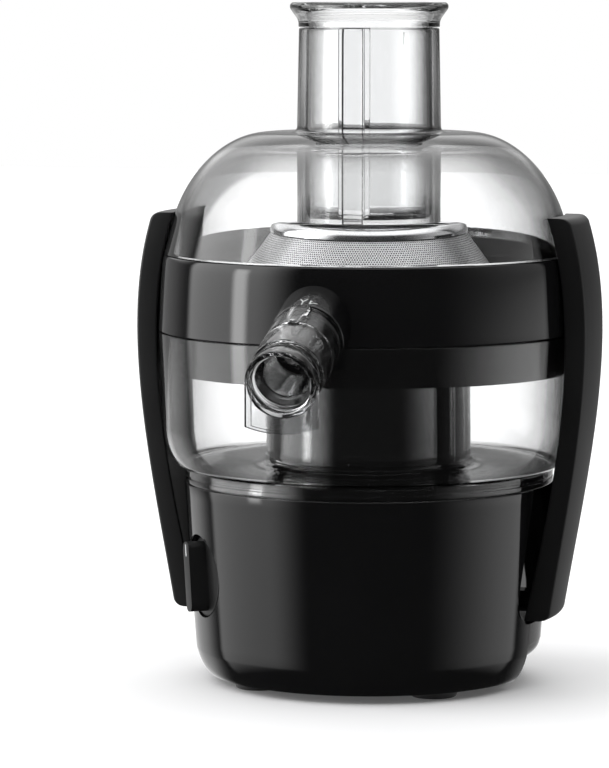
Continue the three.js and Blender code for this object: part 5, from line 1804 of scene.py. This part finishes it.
@dataclass
class Pusher:
    """The clear cup that slides in the feed tube, with a groove for the rib."""

    foot_rise: float = 0.0035
    radius: float = 0.0273
    wall: float = 0.002
    collar_radius: float = 0.0306
    flange_radius: float = 0.0343
    flange_height: float = 0.0034
    neck_rise: float = 0.006
    edge: float = 0.002
    foot_ease: float = 0.0035
    groove_half: float = 0.00475
    groove_inner: float = 0.0248
    lining: float = 0.0018
    ease: float = 0.0006

    def build(self, shop: Shop, levels: Levels) -> None:
        """Makes and fits the pusher."""
        foot, rim = levels.pusher_foot, levels.pusher_rim
        collar = levels.tube_top + SEAT_GAP
        flange = rim - self.flange_height
        inner = self.radius - self.wall
        cup = lathe("pusher_cup", eased([
            (0, foot), (self.radius, foot, self.foot_ease), (self.radius, collar),
            (self.collar_radius, collar, self.ease), (self.collar_radius, collar + self.neck_rise / 2, self.edge),
            (self.flange_radius - self.ease, flange, self.ease), (self.flange_radius, flange + self.edge / 2,
                                                                  self.ease),
            (self.flange_radius, rim - self.edge / 2, self.ease), (self.flange_radius - self.edge / 2, rim,
                                                                   self.ease),
            (self.flange_radius - self.edge, rim, self.ease),
            (self.collar_radius - self.wall, flange, self.edge), (inner, collar - self.wall, self.edge),
            (inner, foot + self.wall, self.foot_ease), (0, foot + self.wall),
        ], EDGE_STEPS + 1))
        half = self.groove_half
        lining = block("lining", (-half - self.lining, -self.radius + self.wall / 2, foot + self.ease),
                       (half + self.lining, -self.groove_inner + self.lining, collar))
        bevelled(lining, self.ease, 3)
        joined(cup, lining)
        groove = block("groove", (-half, -self.collar_radius - OVERRUN, foot - OVERRUN),
                       (half, -self.groove_inner, collar))
        bevelled(groove, self.ease)
        joined(cup, groove, Join.CUT)
        shop.fit(cup, Body.PUSHER, Slot.CLEAR, "pusher")


@dataclass
class ClampBars:
    """The curved bars at both sides that hold the lid down."""

    outer_radii: tuple[float, ...] = (0.0855, 0.0949, 0.1112, 0.0946)
    inner_radii: tuple[float, ...] = (0.0748, 0.0871, 0.102, 0.0852)
    outer_shares: tuple[float, ...] = (0, 0.332, 0.711, 1)
    inner_shares: tuple[float, ...] = (0, 0.3, 0.7, 1)
    foot_width: float = 0.032
    head_width: float = 0.0392
    bore_half: float = 0.0093
    edge: float = 0.0011
    foot_corner: float = 0.0036
    head_corner: float = 0.003
    stations: int = 56
    end_shares: tuple[float, ...] = (0, 0.002, 0.005, 0.009, 0.014, 0.02, 0.028)
    slot_half: float = 0.0053
    slot_reach: float = 0.0051
    pin_bore: float = 0.0023

    def build(self, shop: Shop) -> None:
        """Makes and fits both bars."""
        bar = self.bar()
        left = copied(bar, "bar_left", turn_about_axis(HALF_TURN))
        bar.name = "bar_right"
        shop.fit(bar, Body.CLAMP_RIGHT, Slot.SATIN_BLACK, "clamp_right")
        shop.fit(left, Body.CLAMP_LEFT, Slot.SATIN_BLACK, "clamp_left")

    def bar(self) -> bpy.types.Object:
        """One bar, with the slot for its ear and the bore for its pin."""
        low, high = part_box("clamp_right")
        pin_low, pin_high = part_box("clamp_pin_right")
        pivot = (pin_low + pin_high) / 2
        foot, height = low.z, high.z - low.z
        stops = sorted({*self.end_shares, *(1 - s for s in self.end_shares), *even_stops(self.stations)})
        outer = sweep([(r, foot + height * s) for r, s in zip(self.outer_radii, self.outer_shares)], stops)
        inner = sweep([(r, foot + height * s) for r, s in zip(self.inner_radii, self.inner_shares)], stops)
        rings = []
        for stop, out, back in zip(stops, outer, inner):
            swell = math.sin(QUARTER_TURN * stop)
            half = (self.foot_width + (self.head_width - self.foot_width) * swell) / 2
            trim = self.corner(out[1] - foot, self.foot_corner) + self.corner(foot + height - out[1],
                                                                              self.head_corner)
            depth = out[0] - back[0] - trim
            section = eased([(-half, 0, self.edge), (half, 0, self.edge), (half, depth, self.edge),
                             (-half, depth, self.edge)])
            section = self.filled(section, half)
            ring = []
            for across, deep in section:
                radius = back[0] + deep
                level = back[1] + (out[1] - back[1]) * deep / depth
                ring.append(Vector((math.sqrt(radius * radius - across * across), across, level)))
            rings.append(ring)
        bar = bevelled(loft("bar", rings), self.edge / 2, 3)
        reach = pivot.x + self.slot_reach
        slot = block("slot", (0, -self.slot_half, 0), (reach, self.slot_half, pivot.z + self.slot_reach))
        joined(bar, slot, Join.CUT)
        across = Matrix.Translation((pivot.x, 0, pivot.z)) @ facing_back()
        ring = oval((0, 0), self.pin_bore, self.pin_bore, 0, FULL_TURN, SMALL_STEPS)[:-1]
        return joined(bar, prism("bore", ring, -self.bore_half, self.bore_half, across), Join.CUT)

    @staticmethod
    def corner(reach: float, size: float) -> float:
        """How far a rounded corner draws back at a distance from its end."""
        gap = size - min(reach, size)
        return size - math.sqrt(size * size - gap * gap)

    @staticmethod
    def filled(section: Outline, half: float) -> Outline:
        """Adds points along the two broad faces, so that they can bow."""
        points: Outline = []
        for i, (x, y) in enumerate(section):
            points.append((x, y))
            nx, ny = section[(i + 1) % len(section)]
            if abs(nx - x) > half:
                count = EDGE_STEPS + EDGE_STEPS
                points += [(x + (nx - x) * k / count, y + (ny - y) * k / count) for k in range(1, count)]
        return points


@dataclass
class Fixings:
    """Screws with cross recesses, in place of the model's plain ones."""

    head_radius: float = 0.003
    head_height: float = 0.0015
    shank_radius: float = 0.0015
    crown: float = 0.0006
    cross_length: float = 0.0036
    cross_width: float = 0.0007
    cross_depth: float = 0.0009

    def build(self, shop: Shop, levels: Levels) -> None:
        """Makes and fits the four bottom screws."""
        for i in range(1, 5):
            name = f"bottom_screw_{i}"
            low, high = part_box(name)
            shoulder = low.z + self.head_height
            screw = lathe(name + "_turned", eased([
                (0, low.z), (self.head_radius, low.z, self.crown), (self.head_radius, shoulder),
                (self.shank_radius, shoulder), (self.shank_radius, high.z, self.crown), (0, high.z),
            ]), SMALL_STEPS)
            for turn in (0, QUARTER_TURN):
                half_length, half_width = self.cross_length / 2, self.cross_width / 2
                arm = block("arm", (-half_length, -half_width, low.z - self.cross_depth),
                            (half_length, half_width, low.z + self.cross_depth))
                arm.data.transform(turn_about_axis(turn))
                joined(screw, arm, Join.CUT)
            screw.data.transform(Matrix.Translation(self_place((low + high) / 2, levels.axis)))
            shop.fit(screw, Body.BASE, Slot.SHAFT_STEEL, name)


# Studio


@dataclass
class Studio:
    """The camera, a plain pale floor and soft light from the sides, above and behind."""

    azimuth: float = math.radians(14.5)
    distance: float = 1.75
    eye_level: float = 0.3055
    aim_level: float = 0.1292
    aim_side: float = -0.028
    lens: float = 188.8
    floor_size: float = 9.0
    floor_tone: float = 0.92
    floor_lift: float = 0.07
    bounces: int = 36

    def build(self, axis: Matrix) -> None:
        """Makes the camera, floor and light.

        Args:
            axis: Frame of the main axis.
        """
        self.set_camera(axis)
        self.set_floor()
        self.set_light()
        scene = bpy.context.scene
        scene.view_settings.view_transform = "Standard"
        scene.cycles.max_bounces = self.bounces
        scene.cycles.transmission_bounces = self.bounces
        scene.cycles.transparent_max_bounces = self.bounces

    def set_camera(self, axis: Matrix) -> None:
        """Places the camera at the photograph's viewing angle."""
        right = Vector((math.cos(self.azimuth), math.sin(self.azimuth), 0))
        forward = Vector((-math.sin(self.azimuth), math.cos(self.azimuth), 0))
        centre = axis.translation
        eye = centre - forward * self.distance + Vector((0, 0, self.eye_level))
        aim = centre + right * self.aim_side + Vector((0, 0, self.aim_level))
        data = bpy.data.cameras.new("camera")
        data.lens = self.lens
        camera = bpy.data.objects.new("camera", data)
        camera.location = eye
        camera.rotation_euler = (aim - eye).to_track_quat("-Z", "Y").to_euler()
        bpy.context.scene.collection.objects.link(camera)
        bpy.context.scene.camera = camera

    def set_floor(self) -> None:
        """Lays the floor, which shows paler to the camera than the light alone makes it."""
        half = self.floor_size / 2
        floor = solid("floor", [(-half, -half, 0), (half, -half, 0), (half, half, 0), (-half, half, 0)],
                      [[0, 1, 2, 3]])
        material = bpy.data.materials.new("floor")
        material.use_nodes = True
        graph = Graph(material.node_tree)
        shader = material.node_tree.nodes["Principled BSDF"]
        place = graph.node("TexCoord").outputs["Object"]
        noise = graph.node("TexNoise", {"Vector": place, "Scale": 6.0})
        tone = self.floor_tone
        color = graph.blend(noise.outputs[0], (tone, tone, tone, 1.0), (tone * 0.99, tone * 0.99, tone, 1.0))
        graph.tree.links.new(color, shader.inputs["Base Color"])
        shader.inputs["Roughness"].default_value = 0.9
        shader.inputs["Specular IOR Level"].default_value = 0.0
        path = graph.node("LightPath").outputs
        seen = graph.math("MAXIMUM", path["Is Camera Ray"], path["Is Transmission Ray"])
        glow = graph.node("Emission", {"Strength": graph.math("MULTIPLY", seen, self.floor_lift)})
        total = graph.node("AddShader", {0: shader.outputs[0], 1: glow.outputs[0]})
        unseen = graph.node("BsdfTransparent")
        shown = graph.node("MixShader", {
            0: graph.math("GREATER_THAN", path["Glossy Depth"], 0.5), 1: total.outputs[0],
            2: unseen.outputs[0],
        })
        output = material.node_tree.nodes["Material Output"]
        graph.tree.links.new(shown.outputs[0], output.inputs["Surface"])
        floor.data.materials.append(material)

    def set_light(self) -> None:
        """Surrounds the object with soft light by direction, dark only in front."""
        world = bpy.data.worlds.new("studio")
        bpy.context.scene.world = world
        world.use_nodes = True
        graph = Graph(world.node_tree)
        direction = graph.node("TexCoord").outputs["Generated"]
        turned = graph.node("VectorRotate", {"Vector": direction, "Angle": -self.azimuth},
                            rotation_type="Z_AXIS").outputs[0]
        x, y, z = graph.node("SeparateXYZ", {0: turned}).outputs
        around = graph.math("MULTIPLY", graph.math("ARCTAN2", x, graph.math("MULTIPLY", y, -1.0)),
                            180 / HALF_TURN)
        left = graph.math("MULTIPLY", graph.ramp(around, -38, -68), graph.ramp(around, -119, -113))
        right = graph.math("MULTIPLY", graph.ramp(around, 36, 98), graph.ramp(around, 117, 111))
        height = graph.ramp(z, -0.45, 0.3, 0.35, 1.0)
        right = graph.math("MULTIPLY", right, graph.ramp(z, -0.16, 0.06, 2.3, 0.5))
        left = graph.math("MULTIPLY", left, 2.8)
        sides = graph.math("ADD", left, right)
        sides = graph.math("MULTIPLY", sides, height)
        sides = graph.math("MULTIPLY", sides, graph.ramp(z, 0.85, 0.6))
        strip = graph.math("MULTIPLY", graph.ramp(around, -68, -73), graph.ramp(around, -82, -77))
        strip = graph.math("MULTIPLY", strip, graph.ramp(z, -0.2, -0.09, 0.0, 5.5))
        strip = graph.math("MULTIPLY", strip, graph.ramp(z, 0.35, 0.2))
        sides = graph.math("ADD", sides, strip)
        sides = graph.math("MULTIPLY", sides, graph.ramp(z, -0.6, -0.35))
        level = graph.math("MAXIMUM", graph.ramp(z, -0.05, -0.2, 0.3, 0.9), graph.ramp(z, 0.05, 0.3, 0.0, 1.2))
        behind = graph.math("MULTIPLY", graph.ramp(y, 0.4, 0.75), level)
        behind = graph.math("MULTIPLY", behind, graph.ramp(x, 0.35, 0.1, 0.5, 1.0))
        behind = graph.math("MULTIPLY", behind, graph.ramp(z, -0.6, -0.35))
        top = graph.math("MULTIPLY", graph.ramp(z, 0.55, 0.85), 1.7)
        strength = graph.math("ADD", graph.math("ADD", sides, 0.035), graph.math("ADD", behind, top))
        path = graph.node("LightPath").outputs
        direct = graph.math("LESS_THAN", path["Glossy Depth"], 0.5)
        through = graph.math("MULTIPLY", path["Is Transmission Ray"], direct)
        through = graph.math("MULTIPLY", through, graph.ramp(y, 0.5, 0.85))
        seen = graph.math("MAXIMUM", path["Is Camera Ray"], through)
        mixed = graph.node("Mix", {0: seen, 2: strength, 3: 1.0}, data_type="FLOAT").outputs[0]
        background = world.node_tree.nodes["Background"]
        graph.tree.links.new(mixed, background.inputs["Strength"])
        background.inputs["Color"].default_value = (1.0, 1.0, 1.0, 1.0)


def main() -> None:
    """Builds the juicer's looks on its frame."""
    logging.basicConfig(level=logging.INFO, format="%(message)s")
    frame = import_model()
    lid = Lid()
    levels = Levels.read(lid.lip_height)
    Studio().build(levels.axis)
    shop = Shop(levels.axis)
    spout_frame = SpoutFrame()
    BaseUnit().build(shop, levels)
    KnobSet().build(shop)
    Fixings().build(shop, levels)
    PulpContainer().build(shop, levels)
    JuiceCollector().build(shop, levels, spout_frame)
    Spout().build(shop, levels, spout_frame)
    FilterBasket().build(shop, levels)
    lid.build(shop, levels)
    Pusher().build(shop, levels)
    ClampBars().build(shop)
    slots = {part["node"]: Slot(part["material_slot"]) for part in frame["record"]["subparts"]}
    for name, node in frame["nodes"].items():
        if name not in shop.covered:
            shop.dress(node, slots[name])


if __name__ == "__main__":
    main()
